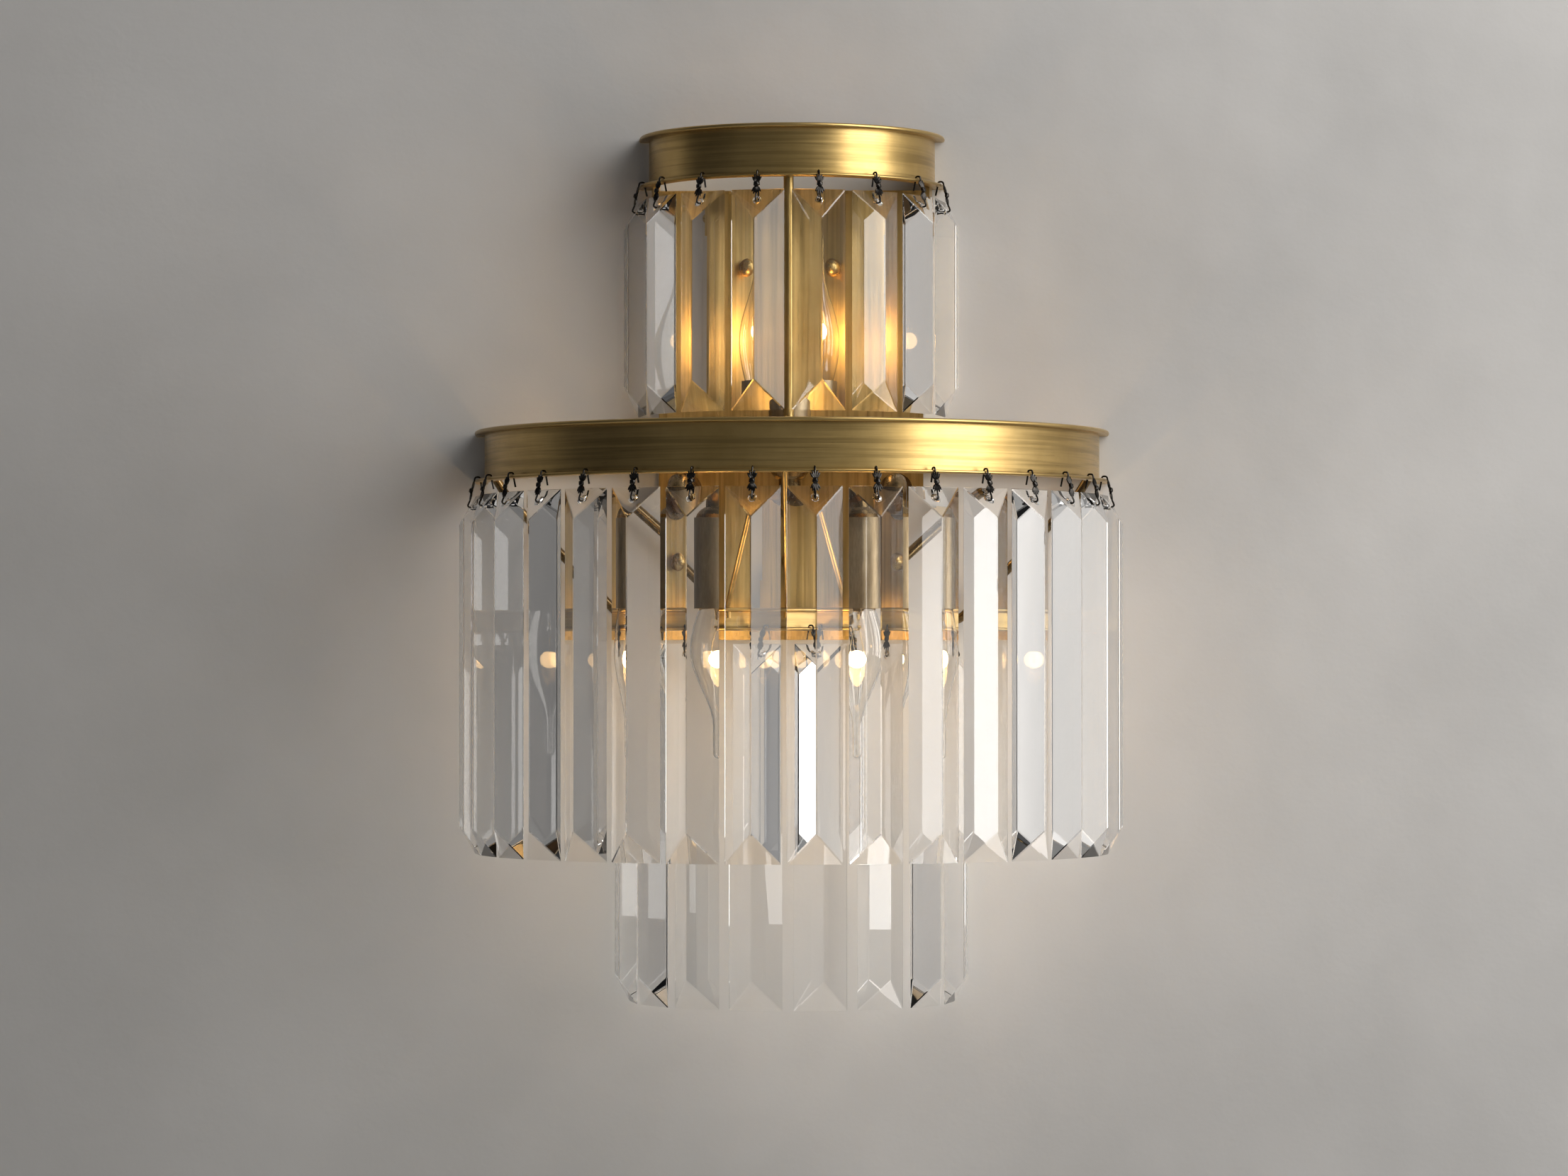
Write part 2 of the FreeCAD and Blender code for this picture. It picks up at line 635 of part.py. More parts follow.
def cup_outline():
    """The domed cup that closes the foot of a sleeve."""
    foot = -(SLEEVE_LENGTH + CUP_HEIGHT)
    seat = -SLEEVE_LENGTH
    return [(ARM_RADIUS - ARM_WALL, foot), (ARM_RADIUS + 0.6, foot), (ARM_RADIUS + 2.6, foot + 1.6),
            (SLEEVE_RADIUS - 1.4, foot + 3.6), (SLEEVE_RADIUS - 0.8, seat),
            (ARM_RADIUS - ARM_WALL, seat)]


def sleeve_outline():
    """A plain open tube, its mouth at height zero."""
    return [(SLEEVE_RADIUS - SLEEVE_WALL, -SLEEVE_LENGTH), (SLEEVE_RADIUS, -SLEEVE_LENGTH),
            (SLEEVE_RADIUS, ZERO), (SLEEVE_RADIUS - SLEEVE_WALL, ZERO)]


def socket_outline():
    """The lamp holder: a moulded cup on a shouldered stem that stands on the lamp's cup."""
    mouth = -SOCKET_SETBACK
    floor = mouth - SOCKET_DEPTH
    seat = -SLEEVE_LENGTH
    stem = ARM_RADIUS + 0.5
    return [(ARM_RADIUS - 3, seat), (stem, seat), (stem, floor - 4), (SOCKET_RADIUS, floor - 2),
            (SOCKET_RADIUS, mouth), (SOCKET_BORE, mouth), (SOCKET_BORE, floor),
            (ARM_RADIUS - 3, floor)]


def lamp_cap_outline():
    """The bulb's brass cap, stepped down to its centre contact."""
    mouth = -SOCKET_SETBACK
    floor = mouth - SOCKET_DEPTH
    return [(ZERO, floor), (CAP_RADIUS * 0.4, floor), (CAP_RADIUS * 0.4, floor + 1.2),
            (CAP_RADIUS * 0.75, floor + 3.5), (CAP_RADIUS, floor + 4.5), (CAP_RADIUS, mouth),
            (ZERO, mouth)]


def bulb_solid():
    """A hollow flame-shaped envelope that draws out to a thin rounded tip."""
    wall = plain(GLASS_WALL)
    return flame(0.0).cut(flame(wall))


def flame(inset):
    """The envelope's outer skin, or its inside when an inset is given."""
    length, radius = plain(BULB_LENGTH) - inset, plain(BULB_RADIUS) - inset
    neck, foot = plain(CAP_RADIUS) + 0.8 - inset, -plain(SOCKET_SETBACK) + inset
    nub = 2.6 - inset
    waist = plain(BULB_LENGTH) * 0.80
    points = [(0, foot), (neck, foot)]
    edges = [Part.LineSegment(spot(*points[0]), spot(*points[1])).toShape()]
    swell = plain(BULB_LENGTH) * 0.36
    edges.append(Part.Arc(spot(neck, foot), spot(radius * 0.86, swell * 0.38),
                          spot(radius, swell)).toShape())
    edges.append(Part.Arc(spot(radius, swell), spot(radius * 0.74, (swell + waist) / 2),
                          spot(nub, waist)).toShape())
    edges.append(Part.LineSegment(spot(nub, waist), spot(nub, length - nub)).toShape())
    edges.append(Part.Arc(spot(nub, length - nub), spot(nub * math.sqrt(0.5),
                          length - nub + nub * math.sqrt(0.5)), spot(0, length)).toShape())
    edges.append(Part.LineSegment(spot(0, length), spot(0, foot)).toShape())
    return Part.Face(Part.Wire(edges)).revolve(FreeCAD.Vector(), UP, 360)


def spot(radius, height):
    """A point of a turned outline in the X-Z plane."""
    return FreeCAD.Vector(radius, 0, height)


def make_lamps():
    """The three candle lamps: cup, sleeve, holder and bulb."""
    cups, sleeves, sockets = [], [], []
    for index, where in enumerate(lamp_places()):
        number = str(index + 1)
        cups.append(stand(turned_piece("Cup" + number, cup_outline()), where))
        sleeves.append(stand(turned_piece("Sleeve" + number, sleeve_outline()), where))
        sockets.append(stand(turned_piece("Socket" + number, socket_outline()), where))
        named("bulb_cap_" + number, stand(turned_piece("LampCap" + number, lamp_cap_outline()), where))
        named("bulb_glass_" + number, stand(formed("BulbGlass" + number, bulb_solid()), where))
    named("lamp_cups", group("LampCups", cups))
    named("candle_sleeves", group("CandleSleeves", sleeves))
    named("lamp_sockets", group("LampSockets", sockets))


# ---------------------------------------------------------------- prisms and their clips

def make_prism(node, rim, bottom, length, angle):
    """One glass prism: flat behind, a ridge in front, both ends cut back in a slanting facet."""
    body = DOC.addObject("PartDesign::Body", node.title().replace("_", ""))
    half = PRISM_WIDTH / 2
    section = new_sketch(body, node + "_section", "XY_Plane")
    outline(section, [(-half, ZERO), (ZERO, -PRISM_DEPTH), (half, ZERO)])
    pad = body.newObject("PartDesign::Pad", node + "_pad")
    pad.Profile = section
    pad.Reversed = True
    bind(pad, "Length", length)
    # In the Y-Z plane the sketch's X runs to the back, so the ridge is at minus the depth.
    ends = new_sketch(body, node + "_facets", "YZ_Plane")
    beyond = PRISM_DEPTH * 2
    outline(ends, [(ZERO, ZERO), (-beyond, -PRISM_FACET * 2), (-beyond, Size(1.0, "1"))])
    cut_top = body.newObject("PartDesign::Pocket", node + "_top_facet")
    cut_top.Profile = ends
    cut_top.Midplane = True
    bind(cut_top, "Length", PRISM_WIDTH * 2)
    foot = new_sketch(body, node + "_foot", "YZ_Plane")
    outline(foot, [(ZERO, -length), (-beyond, -length - 1), (-beyond, -length + PRISM_FACET * 2)])
    cut_foot = body.newObject("PartDesign::Pocket", node + "_foot_facet")
    cut_foot.Profile = foot
    cut_foot.Midplane = True
    bind(cut_foot, "Length", PRISM_WIDTH * 2)
    drill = new_sketch(body, node + "_bore", "XZ_Plane")
    hole_circle(drill, ZERO, -PRISM_BORE_DROP, PRISM_BORE)
    bore = body.newObject("PartDesign::Pocket", node + "_bore_pocket")
    bore.Profile = drill
    bore.Midplane = True
    bind(bore, "Length", PRISM_DEPTH * 4)
    body.Tip = bore
    back = plain(rim - PRISM_SETBACK)
    turn = turned(angle)
    turn.Base = turn.Rotation.multVec(FORWARD * back) + UP * plain(bottom - PRISM_DROP)
    body.Placement = turn
    named(node, body)


def clip_solid(rim, bottom):
    """One bow-tie clip at the front of a ring: a hook over the rim, two shells and a loop below."""
    edge, under = plain(rim), plain(bottom)
    wire, thick = plain(WIRE), plain(SHELL_THICK)
    hook = edge - plain(HOOK_INSET)
    front = edge + 0.5 + thick / 2
    over = under + plain(HOOK_FLANGE) + 1.1
    shell_top = under + 1.6
    bead = under - 4.7
    shell_foot = under - 11.0
    bore = under - plain(PRISM_DROP + PRISM_BORE_DROP)
    back = edge - plain(PRISM_SETBACK)
    hook_wire = bent_wire([(hook - 1.1, under - 4.8), (hook, under - 0.2), (hook + 0.3, over),
                           (front - 0.2, over), (front, shell_top - 1.0)], wire)
    loop_wire = bent_wire([(front, shell_foot + 0.8), (front + 0.2, shell_foot - 0.9),
                           (front + 0.9, bore + 0.3), (front - 0.9, bore), (back - 1.4, bore),
                           (back - 2.1, bore + 4.5)], wire)
    upper = shell_plate(bead, shell_top, front, thick)
    lower = shell_plate(bead, shell_foot, front, thick)
    stone = Part.Face(Part.makePolygon(
        [FreeCAD.Vector(1.9 * math.sin(math.radians(45 * step)), -front - 1.2,
                        bead + 1.9 * math.cos(math.radians(45 * step))) for step in range(9)]))
    stone = stone.extrude(FreeCAD.Vector(0, 2.0, 0))
    return hook_wire.multiFuse([loop_wire, upper, lower, stone])


def bent_wire(spots, wire):
    """A six-sided wire through points given as distance from the axis and height."""
    points = [FreeCAD.Vector(0, -radius, height) for radius, height in spots]
    path = Part.makePolygon(points)
    along = (points[1] - points[0]).normalize()
    across = along.cross(RIGHT)
    corners = [points[0] + (RIGHT * math.cos(math.radians(60 * step))
                            + across * math.sin(math.radians(60 * step))) * (wire / 2)
               for step in range(7)]
    return path.makePipeShell([Part.makePolygon(corners)], True, False, 1)


def shell_plate(waist, tip, front, thick):
    """One fan-shaped shell of a clip, from its waist to its pointed tip."""
    half = plain(SHELL_WIDTH) / 2
    rise = tip - waist
    outline_points = [(0.7, 0.0), (half, 0.66), (half * 0.72, 0.86), (0.6, 1.0)]
    right = [(x, waist + rise * share) for x, share in outline_points]
    left = [(-x, z) for x, z in reversed(right)]
    corners = [FreeCAD.Vector(x, -front - thick / 2, z) for x, z in right + left + right[:1]]
    return Part.Face(Part.makePolygon(corners)).extrude(FreeCAD.Vector(0, thick, 0))


def make_tier(ring, rim, bottom, length, count, step):
    """Hang one ring: a row of prisms, each a node, and the clips that carry them."""
    clips = []
    model = clip_solid(rim, bottom)
    for index, angle in enumerate(tier_angles(count, step)):
        make_prism("%s_prism_%02d" % (ring, index + 1), rim, bottom, length, angle)
        clip = model.copy()
        clip.Placement = turned(angle)
        clips.append(clip)
    named(ring + "_clips", formed(ring.title() + "Clips", Part.makeCompound(clips)))


# ---------------------------------------------------------------- build, test and write

def check_and_write():
    """Stop on anything that failed, then write each node's solids."""
    DOC.recompute()
    for piece in DOC.Objects:
        if "Invalid" in piece.State or "Error" in piece.State:
            raise RuntimeError("%s failed to build" % piece.Label)
    os.makedirs("parts", exist_ok=True)
    for node, piece in NODES.items():
        shape = piece.Shape
        if shape.isNull() or not shape.isValid() or not shape.Solids:
            raise RuntimeError("%s has no valid solid" % node)
        shape.exportStep("parts/" + node + ".step")
    print("%d nodes" % len(NODES))


make_backplate()
make_mounting_strap()
make_studs_and_cap_nuts()
make_ring("top_ring", TOP_RIM, TOP_BOTTOM, TOP_TALL, SHORT_TIER_COUNT, SHORT_TIER_STEP)
make_ring("middle_ring", MIDDLE_RIM, MIDDLE_BOTTOM, MIDDLE_TALL, MIDDLE_TIER_COUNT, MIDDLE_TIER_STEP)
make_ring("lower_ring", LOWER_RIM, LOWER_BOTTOM, LOWER_TALL, SHORT_TIER_COUNT, SHORT_TIER_STEP)
make_ring_brackets()
make_cross_bar()
make_top_post()
make_front_stay()
make_curved_stays()
make_arms()
make_lamps()
make_tier("top", TOP_RIM, TOP_BOTTOM, PRISM_SHORT, SHORT_TIER_COUNT, SHORT_TIER_STEP)
make_tier("middle", MIDDLE_RIM, MIDDLE_BOTTOM, PRISM_LONG, MIDDLE_TIER_COUNT, MIDDLE_TIER_STEP)
make_tier("lower", LOWER_RIM, LOWER_BOTTOM, PRISM_LONG, SHORT_TIER_COUNT, SHORT_TIER_STEP)
check_and_write()
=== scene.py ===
"""Crystal wall sconce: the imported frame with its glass, clips, bulbs and finishes.

Metres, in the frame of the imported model: +Z is up, the front faces -Y and the wall is Y = 0.
"""
import json
import math

import bmesh
import bpy
from mathutils import Matrix, Vector


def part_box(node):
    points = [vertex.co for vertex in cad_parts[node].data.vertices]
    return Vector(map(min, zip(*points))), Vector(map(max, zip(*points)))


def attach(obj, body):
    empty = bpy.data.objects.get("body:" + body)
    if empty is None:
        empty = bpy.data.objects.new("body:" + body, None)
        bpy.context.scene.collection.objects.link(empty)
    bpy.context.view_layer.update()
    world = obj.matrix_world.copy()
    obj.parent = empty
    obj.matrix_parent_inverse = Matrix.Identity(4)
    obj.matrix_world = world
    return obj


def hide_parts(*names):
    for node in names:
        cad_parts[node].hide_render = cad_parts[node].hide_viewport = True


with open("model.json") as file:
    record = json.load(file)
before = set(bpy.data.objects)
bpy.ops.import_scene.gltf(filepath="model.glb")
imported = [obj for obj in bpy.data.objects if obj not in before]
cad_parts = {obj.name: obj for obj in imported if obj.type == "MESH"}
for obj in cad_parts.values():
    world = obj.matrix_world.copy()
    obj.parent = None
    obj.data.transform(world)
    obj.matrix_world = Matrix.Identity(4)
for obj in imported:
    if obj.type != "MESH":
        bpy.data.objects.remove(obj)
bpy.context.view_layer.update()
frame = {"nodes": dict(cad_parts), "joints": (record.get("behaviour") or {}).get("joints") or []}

bl_info = {
    "name": "Crystal Wall Sconce",
    "version": (1, 0, 0),
    "blender": (4, 5, 0),
    "location": "View3D > Sidebar > Sconce",
    "description": "Finishes the metalwork, cuts the prisms, bends the clips and blows the bulbs",
    "category": "Object",
}

MM = 0.001
TIERS = ("top", "middle", "lower")
ROOT = "frame"
# A clip's fan: its lobes' reach as shares of the longest, the degrees from lobe to lobe, a lobe's half
# width as a share of the fan's, and half its thickness.
LOBE_SHARES = (0.80, 0.93, 1.0, 0.93, 0.80)
LOBE_STEP = 15.0
LOBE_WIDTH = 0.135
LOBE_THICK = 0.62 * MM
# A lobe's foot: its height as a share of the lobe's, and how much it is drawn in along X, Y and Z.
LOBE_FOOT = 0.4
LOBE_PINCH = (0.45, 0.9, 1.0)
# A clip's wire and waist, in millimetres inward of the rim and above the ring's underside. The loop goes
# through the prism's bore at the height of its hinge.
HOOK_PATH = ((3.6, -4.8), (2.5, -0.4), (2.3, 2.6), (1.0, 3.0), (-0.9, 2.7), (-0.95, 0.6))
WAIST_SPOT = (-2.275, -4.7)
LOOP_PATH = ((-3.4, -10.2), (-4.3, -11.9), (-4.6, -13.3), (-3.2, -14.0), (0.0, -13.8), (2.3, -13.8),
             (3.2, -12.6), (3.2, -9.6))
BEAD_FORWARD = 0.5 * MM
BEAD_BEVEL = 0.12 * MM
BEAD_SHAPE = (1.0, 0.75, 1.0)
# Edges of a prism that bend by less than this are left unpolished.
ARRIS_ANGLE = math.radians(28)

LAMPS = ("1", "2", "3")
BULB_NECK = 6.75 * MM
BULB_NUB = 2.6 * MM
GLOW_HEIGHT = 35 * MM
GLOW_RADIUS = 5 * MM
FILAMENT_GLOW = 14.0
# A bulb's outline: the heights of its widest place and of its tip's foot as shares of its length, the
# powers that make its two curves fuller or leaner, the steps in its belly, taper and tip, and the tip's
# width as a share of the nub.
SWELL_SHARE = 0.34
TAPER_SHARE = 0.80
BELLY_POWER = 1.15
TAPER_POWER = 0.92
BELLY_STEPS = 10
TAPER_STEPS = 16
TIP_STEPS = 6
TIP_SHARE = 0.96
# The stem's outline and a lead wire's route, in millimetres above the bulb's foot.
STEM_OUTLINE = ((0.0, 1.0), (4.6, 1.0), (4.2, 3.5), (2.4, 6.5), (1.7, 10.0), (1.6, 15.0), (2.3, 17.0),
                (2.2, 18.6), (0.9, 19.6), (0.0, 19.8))
LEAD_ROUTE = ((1.1, 18.0), (1.6, 21.0), (2.8, 25.0), (3.5, 29.0), (3.4, 31.0))
LEAD_WIRE = 0.45 * MM
# The filament, in millimetres: an arch between the leads, with a coil wound along it.
COIL_TURNS = 11
COIL_STEPS = 10
ARCH_HALF = 3.4
ARCH_FOOT = 31.0
ARCH_RISE = 5.0
COIL_RADIUS = 0.6
# The cap: its end as millimetres of radius and of height above the contact, and a turn of its thread as
# millimetres of radius and a share of the pitch.
CAP_END = ((0.0, 0.0), (2.38, 0.0), (2.38, 1.2), (4.4, 3.5), (5.3, 4.5))
THREAD_TURN = ((5.35, 0.0), (5.78, 0.22), (5.93, 0.5), (5.78, 0.78))
THREAD_PITCH = 2.5 * MM
THREAD_ROOT = 5.3 * MM
# The thread starts this far above the contact, and this much of the cap's height has no turns.
THREAD_START = 5.0 * MM
THREAD_SPARE = 6.5 * MM
CAP_LIP = 5.9 * MM
LIP_HEIGHT = 0.6 * MM

# Patterns in the finishes: about how many times each repeats in a metre along X, Y and Z.
BRUSH_ROUND = (25, 25, 2600)
BRUSH_DOWN = (2600, 2600, 18)
BANDS_ROUND = (9, 9, 420)
BANDS_DOWN = (420, 420, 7)
AGE_PATCHES = (28, 28, 28)
GLASS_DRAWS = (60, 60, 12)
PLASTIC_GRAIN = (900, 900, 900)
HOT_SPOTS = (700, 700, 700)
WALL_SWEEP = (2.2, 2.2, 3.4)
WALL_TROWEL = (9, 9, 26)
FLOOR_SWEEP = (3, 3, 3)
# Colours that are not offered for change.
ZINC_DARK = (0.42, 0.42, 0.42)
ZINC_LIGHT = (0.62, 0.62, 0.61)
NICKEL_DARK = (0.40, 0.36, 0.28)
NICKEL_LIGHT = (0.66, 0.60, 0.46)
PHENOLIC = (0.03, 0.028, 0.026)
CRYSTAL_TINT = (1.0, 1.0, 1.0)
BULB_TINT = (1.0, 0.99, 0.97)
SHADE_OF_GLASS = (0.93, 0.94, 0.94, 1)
# How many times paler the gunmetal's light patches are than its dark ones.
GUNMETAL_LIFT = 2.4

STAGE_SIZE = 9.0
WALL_BEHIND = 0.5 * MM
FLOOR_HEIGHT = -1.6
FLOOR_COLOUR = (0.78, 0.77, 0.75)
# Where the lamps stand and what they are aimed at, in metres.
SIDE_PLACE = (1.45, -0.75, 0.4)
KEY_PLACE = (1.0, -0.9, 1.2)
FILL_PLACE = (-1.6, -2.2, 0.2)
REAR_PLACE = (0.6, 2.0, 1.3)
AIM = (0, 0, -0.05)
FILL_AIM = (0, 0, -0.1)
WARM_WHITE = (1.0, 0.985, 0.96)
COOL_WHITE = (0.96, 0.98, 1.0)
PLAIN_WHITE = (1.0, 1.0, 1.0)
KEY_SHARE = 0.45
ROOM_LEFT = (0.045, 0.045, 0.05, 1)
ROOM_RIGHT = (0.29, 0.29, 0.285, 1)
CAMERA_SIDE = 68 * MM
CAMERA_HEIGHT = -141.3 * MM
CAMERA_AIM = (-4.4 * MM, 0, -95.1 * MM)
SENSOR_WIDTH = 36


# ---------------------------------------------------------------- places read from the frame

def low(node):
    """A node's lowest corner at rest."""
    return Vector(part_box(node)[0])


def high(node):
    """A node's highest corner at rest."""
    return Vector(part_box(node)[1])


def tall(node):
    """A node's height."""
    return high(node).z - low(node).z


def tier_prisms(tier):
    """The names of a tier's prism nodes, left to right."""
    return sorted(name for name in frame["nodes"] if name.startswith(tier + "_prism_"))


def rim_radius(tier):
    """The distance from the ring's axis to the edge of its flanges."""
    return -low(tier + "_ring").y


def ring_underside(tier):
    """The height of the ring's hook flange, underneath."""
    return low(tier + "_ring").z


def hinge_angle(joint):
    """How far a prism stands round its ring, from the straight front position."""
    axis = Vector(joint["axis"])
    return math.atan2(-axis.y, -axis.x)


def swing_joints():
    """Each prism's body name and its hinge."""
    return {joint["child"]: joint for joint in frame["joints"] if "_swing_" in joint["name"]}


def round_the_ring(angle):
    """Turns what is modelled at the front of a ring to its place round it."""
    return Matrix.Rotation(angle, 4, "Z")


# ---------------------------------------------------------------- helpers for modelling by hand

def deselect_all():
    """Leave nothing selected, in object mode."""
    if bpy.context.mode != "OBJECT":
        bpy.ops.object.mode_set(mode="OBJECT")
    bpy.ops.object.select_all(action="DESELECT")


def only(piece):
    """Make one piece the selected and active one."""
    deselect_all()
    piece.select_set(True)
    bpy.context.view_layer.objects.active = piece


def take(name):
    """Name the piece that was just added."""
    piece = bpy.context.object
    piece.name = name
    piece.data.name = name
    return piece


def edit(piece):
    """Open a piece in edit mode with all of it selected."""
    only(piece)
    bpy.ops.object.mode_set(mode="EDIT")
    bpy.ops.mesh.select_mode(type="VERT")
    bpy.ops.mesh.select_all(action="SELECT")


def leave():
    """Back to object mode."""
    bpy.ops.object.mode_set(mode="OBJECT")


def pick(piece, wanted):
    """Select the vertices that a test wants. The piece is in edit mode."""
    bpy.ops.mesh.select_all(action="DESELECT")
    mesh = bmesh.from_edit_mesh(piece.data)
    for vertex in mesh.verts:
        if wanted(vertex):
            vertex.select_set(True)
    mesh.select_flush_mode()
    bmesh.update_edit_mesh(piece.data)


def apply_modifier(piece, kind, **settings):
    """Add a modifier, set it and apply it."""
    only(piece)
    modifier = piece.modifiers.new(kind.title(), kind)
    for setting, value in settings.items():
        setattr(modifier, setting, value)
    bpy.ops.object.modifier_apply(modifier=modifier.name)


def settle(piece):
    """Put the piece's place into its mesh."""
    only(piece)
    bpy.ops.object.transform_apply(location=True, rotation=True, scale=True)


def turned_out(piece):
    """Merge doubles and face everything outwards."""
    edit(piece)
    bpy.ops.mesh.remove_doubles(threshold=0.001 * MM)
    bpy.ops.mesh.normals_make_consistent(inside=False)
    leave()


def join(pieces, name):
    """Join pieces into one and name it."""
    deselect_all()
    for piece in pieces:
        piece.select_set(True)
    bpy.context.view_layer.objects.active = pieces[0]
    bpy.ops.object.join()
    return take(name)


def copy_to(model, name, matrix):
    """A copy of a piece with its own mesh, moved by a matrix."""
    only(model)
    bpy.ops.object.duplicate(linked=False)
    piece = take(name)
    piece.matrix_world = matrix
    settle(piece)
    return piece


def discard(piece):
    """Remove a model that was only made to be copied."""
    only(piece)
    bpy.ops.object.delete()


def drawn_wire(name, spots, thickness, sides=3):
    """A round wire: one point drawn out run by run, smoothed, and given its thickness."""
    deselect_all()
    bpy.ops.mesh.primitive_plane_add(size=MM, location=spots[0])
    piece = take(name)
    settle(piece)
    edit(piece)
    bpy.ops.mesh.merge(type="CENTER")
    for start, end in zip(spots, spots[1:]):
        step = Vector(end) - Vector(start)
        bpy.ops.mesh.extrude_region_move(TRANSFORM_OT_translate={"value": step})
    leave()
    bpy.ops.object.convert(target="CURVE")
    line = piece.data
    for spline in line.splines:
        spline.type = "NURBS"
        spline.order_u = 3
        spline.use_endpoint_u = True
        spline.resolution_u = 4
    line.bevel_depth = thickness / 2
    line.bevel_resolution = sides
    line.use_fill_caps = True
    bpy.ops.object.convert(target="MESH")
    turned_out(piece)
    return piece


def spun(name, profile, steps):
    """A turned piece: a profile of (radius, height) points spun about the Z axis."""
    deselect_all()
    start = (profile[0][0], 0, profile[0][1])
    bpy.ops.mesh.primitive_plane_add(size=MM, location=start)
    piece = take(name)
    settle(piece)
    edit(piece)
    bpy.ops.mesh.merge(type="CENTER")
    for near, far in zip(profile, profile[1:]):
        step = (far[0] - near[0], 0, far[1] - near[1])
        bpy.ops.mesh.extrude_region_move(TRANSFORM_OT_translate={"value": step})
    bpy.ops.mesh.select_all(action="SELECT")
    bpy.ops.mesh.spin(steps=steps, angle=math.tau, center=(0, 0, 0), axis=(0, 0, 1))
    leave()
    turned_out(piece)
    return piece


def smooth(piece, degrees):
    """Shade smooth, but keep edges sharper than this angle."""
    only(piece)
    bpy.ops.object.shade_smooth_by_angle(angle=math.radians(degrees))


def coat(piece, material):
    """Give a piece one material."""
    piece.data.materials.clear()
    piece.data.materials.append(material)


# ---------------------------------------------------------------- helpers for materials

class Finish:
    """A new material's node tree, with short ways to add and link nodes."""

    def __init__(self, name):
        self.material = bpy.data.materials.new(name)
        self.material.use_nodes = True
        self.nodes = self.material.node_tree.nodes
        self.links = self.material.node_tree.links
        self.shader = self.nodes["Principled BSDF"]
        self.output = self.nodes["Material Output"]

    def add(self, kind, **settings):
        node = self.nodes.new(kind)
        for setting, value in settings.items():
            setattr(node, setting, value)
        return node

    def link(self, source, target):
        self.links.new(source, target)

    def places(self, scale):
        """Object coordinates, stretched by a scale along each axis."""
        spots = self.add("ShaderNodeTexCoord")
        mapping = self.add("ShaderNodeMapping")
        mapping.inputs["Scale"].default_value = scale
        self.link(spots.outputs["Object"], mapping.inputs["Vector"])
        return mapping.outputs["Vector"]

    def noise(self, scale, detail, roughness=0.55):
        """Noise read at stretched Object coordinates."""
        node = self.add("ShaderNodeTexNoise")
        node.inputs["Scale"].default_value = 1.0
        node.inputs["Detail"].default_value = detail
        node.inputs["Roughness"].default_value = roughness
        self.link(self.places(scale), node.inputs["Vector"])
        return node.outputs["Fac"]

    def ramp(self, value, stops):
        """A colour ramp between two stops of (position, colour)."""
        node = self.add("ShaderNodeValToRGB")
        elements = node.color_ramp.elements
        for element, (position, colour) in zip(elements, stops):
            element.position = position
            element.color = (*colour, 1)
        self.link(value, node.inputs["Fac"])
        return node.outputs["Color"]

    def span(self, value, lowest, highest):
        """A 0 to 1 value turned into a range."""
        node = self.add("ShaderNodeMapRange")
        node.inputs["To Min"].default_value = lowest
        node.inputs["To Max"].default_value = highest
        self.link(value, node.inputs["Value"])
        return node.outputs["Result"]

    def blend(self, share, first, second):
        """Two colours mixed by a share."""
        node = self.add("ShaderNodeMix", data_type="RGBA")
        for value, socket in ((share, 0), (first, 6), (second, 7)):
            if isinstance(value, bpy.types.NodeSocket):
                self.link(value, node.inputs[socket])
            elif socket:
                node.inputs[socket].default_value = (*value, 1)
            else:
                node.inputs[socket].default_value = value
        return node.outputs[2]

    def relief(self, height, distance, strength):
        """Bump on the main shader."""
        node = self.add("ShaderNodeBump")
        node.inputs["Distance"].default_value = distance
        node.inputs["Strength"].default_value = strength
        self.link(height, node.inputs["Height"])
        self.link(node.outputs["Normal"], self.shader.inputs["Normal"])

    def set(self, **sockets):
        """Constants and links on the main shader, by socket name with _ for a space."""
        for name, value in sockets.items():
            socket = self.shader.inputs[name.replace("_", " ")]
            if isinstance(value, bpy.types.NodeSocket):
                self.link(value, socket)
            else:
                socket.default_value = value


def brushed_brass(name, dark, light, along):
    """Aged brass with fine brush lines. along is the axis of the lines, X for a ring or Z for the plate."""
    finish = Finish(name)
    lines = BRUSH_ROUND if along == "X" else BRUSH_DOWN
    bands = BANDS_ROUND if along == "X" else BANDS_DOWN
    fine = finish.noise(lines, detail=2.0)
    broad = finish.noise(bands, detail=2.0)
    age = finish.noise(AGE_PATCHES, detail=5.0, roughness=0.6)
    colour = finish.ramp(age, [(0.3, dark), (0.7, light)])
    streaks = finish.ramp(broad, [(0.42, (0, 0, 0)), (0.62, (1, 1, 1))])
    streaked = finish.blend(finish.span(streaks, 0.0, 0.6), colour, tuple(0.62 * c for c in dark))
    finish.set(Base_Color=streaked, Metallic=1.0, Roughness=finish.span(fine, 0.2, 0.46))
    finish.relief(fine, 0.03 * MM, 0.6)
    return finish.material


def mottled_metal(name, dark, light, rough, size, streak=1.0):
    """Hand-darkened metal: cloudy patches, drawn out down the piece by streak."""
    finish = Finish(name)
    clouds = finish.noise((size, size, size / streak), detail=6.0, roughness=0.62)
    grain = finish.noise((size * 9, size * 9, size * 9 / streak), detail=3.0)
    colour = finish.ramp(clouds, [(0.34, dark), (0.66, light)])
    worn = finish.blend(finish.span(grain, 0.0, 0.6), colour, tuple(0.55 * c for c in dark))
    finish.set(Base_Color=worn, Metallic=1.0, Roughness=finish.span(grain, rough - 0.08, rough + 0.1))
    finish.relief(grain, 0.04 * MM, 0.35)
    return finish.material


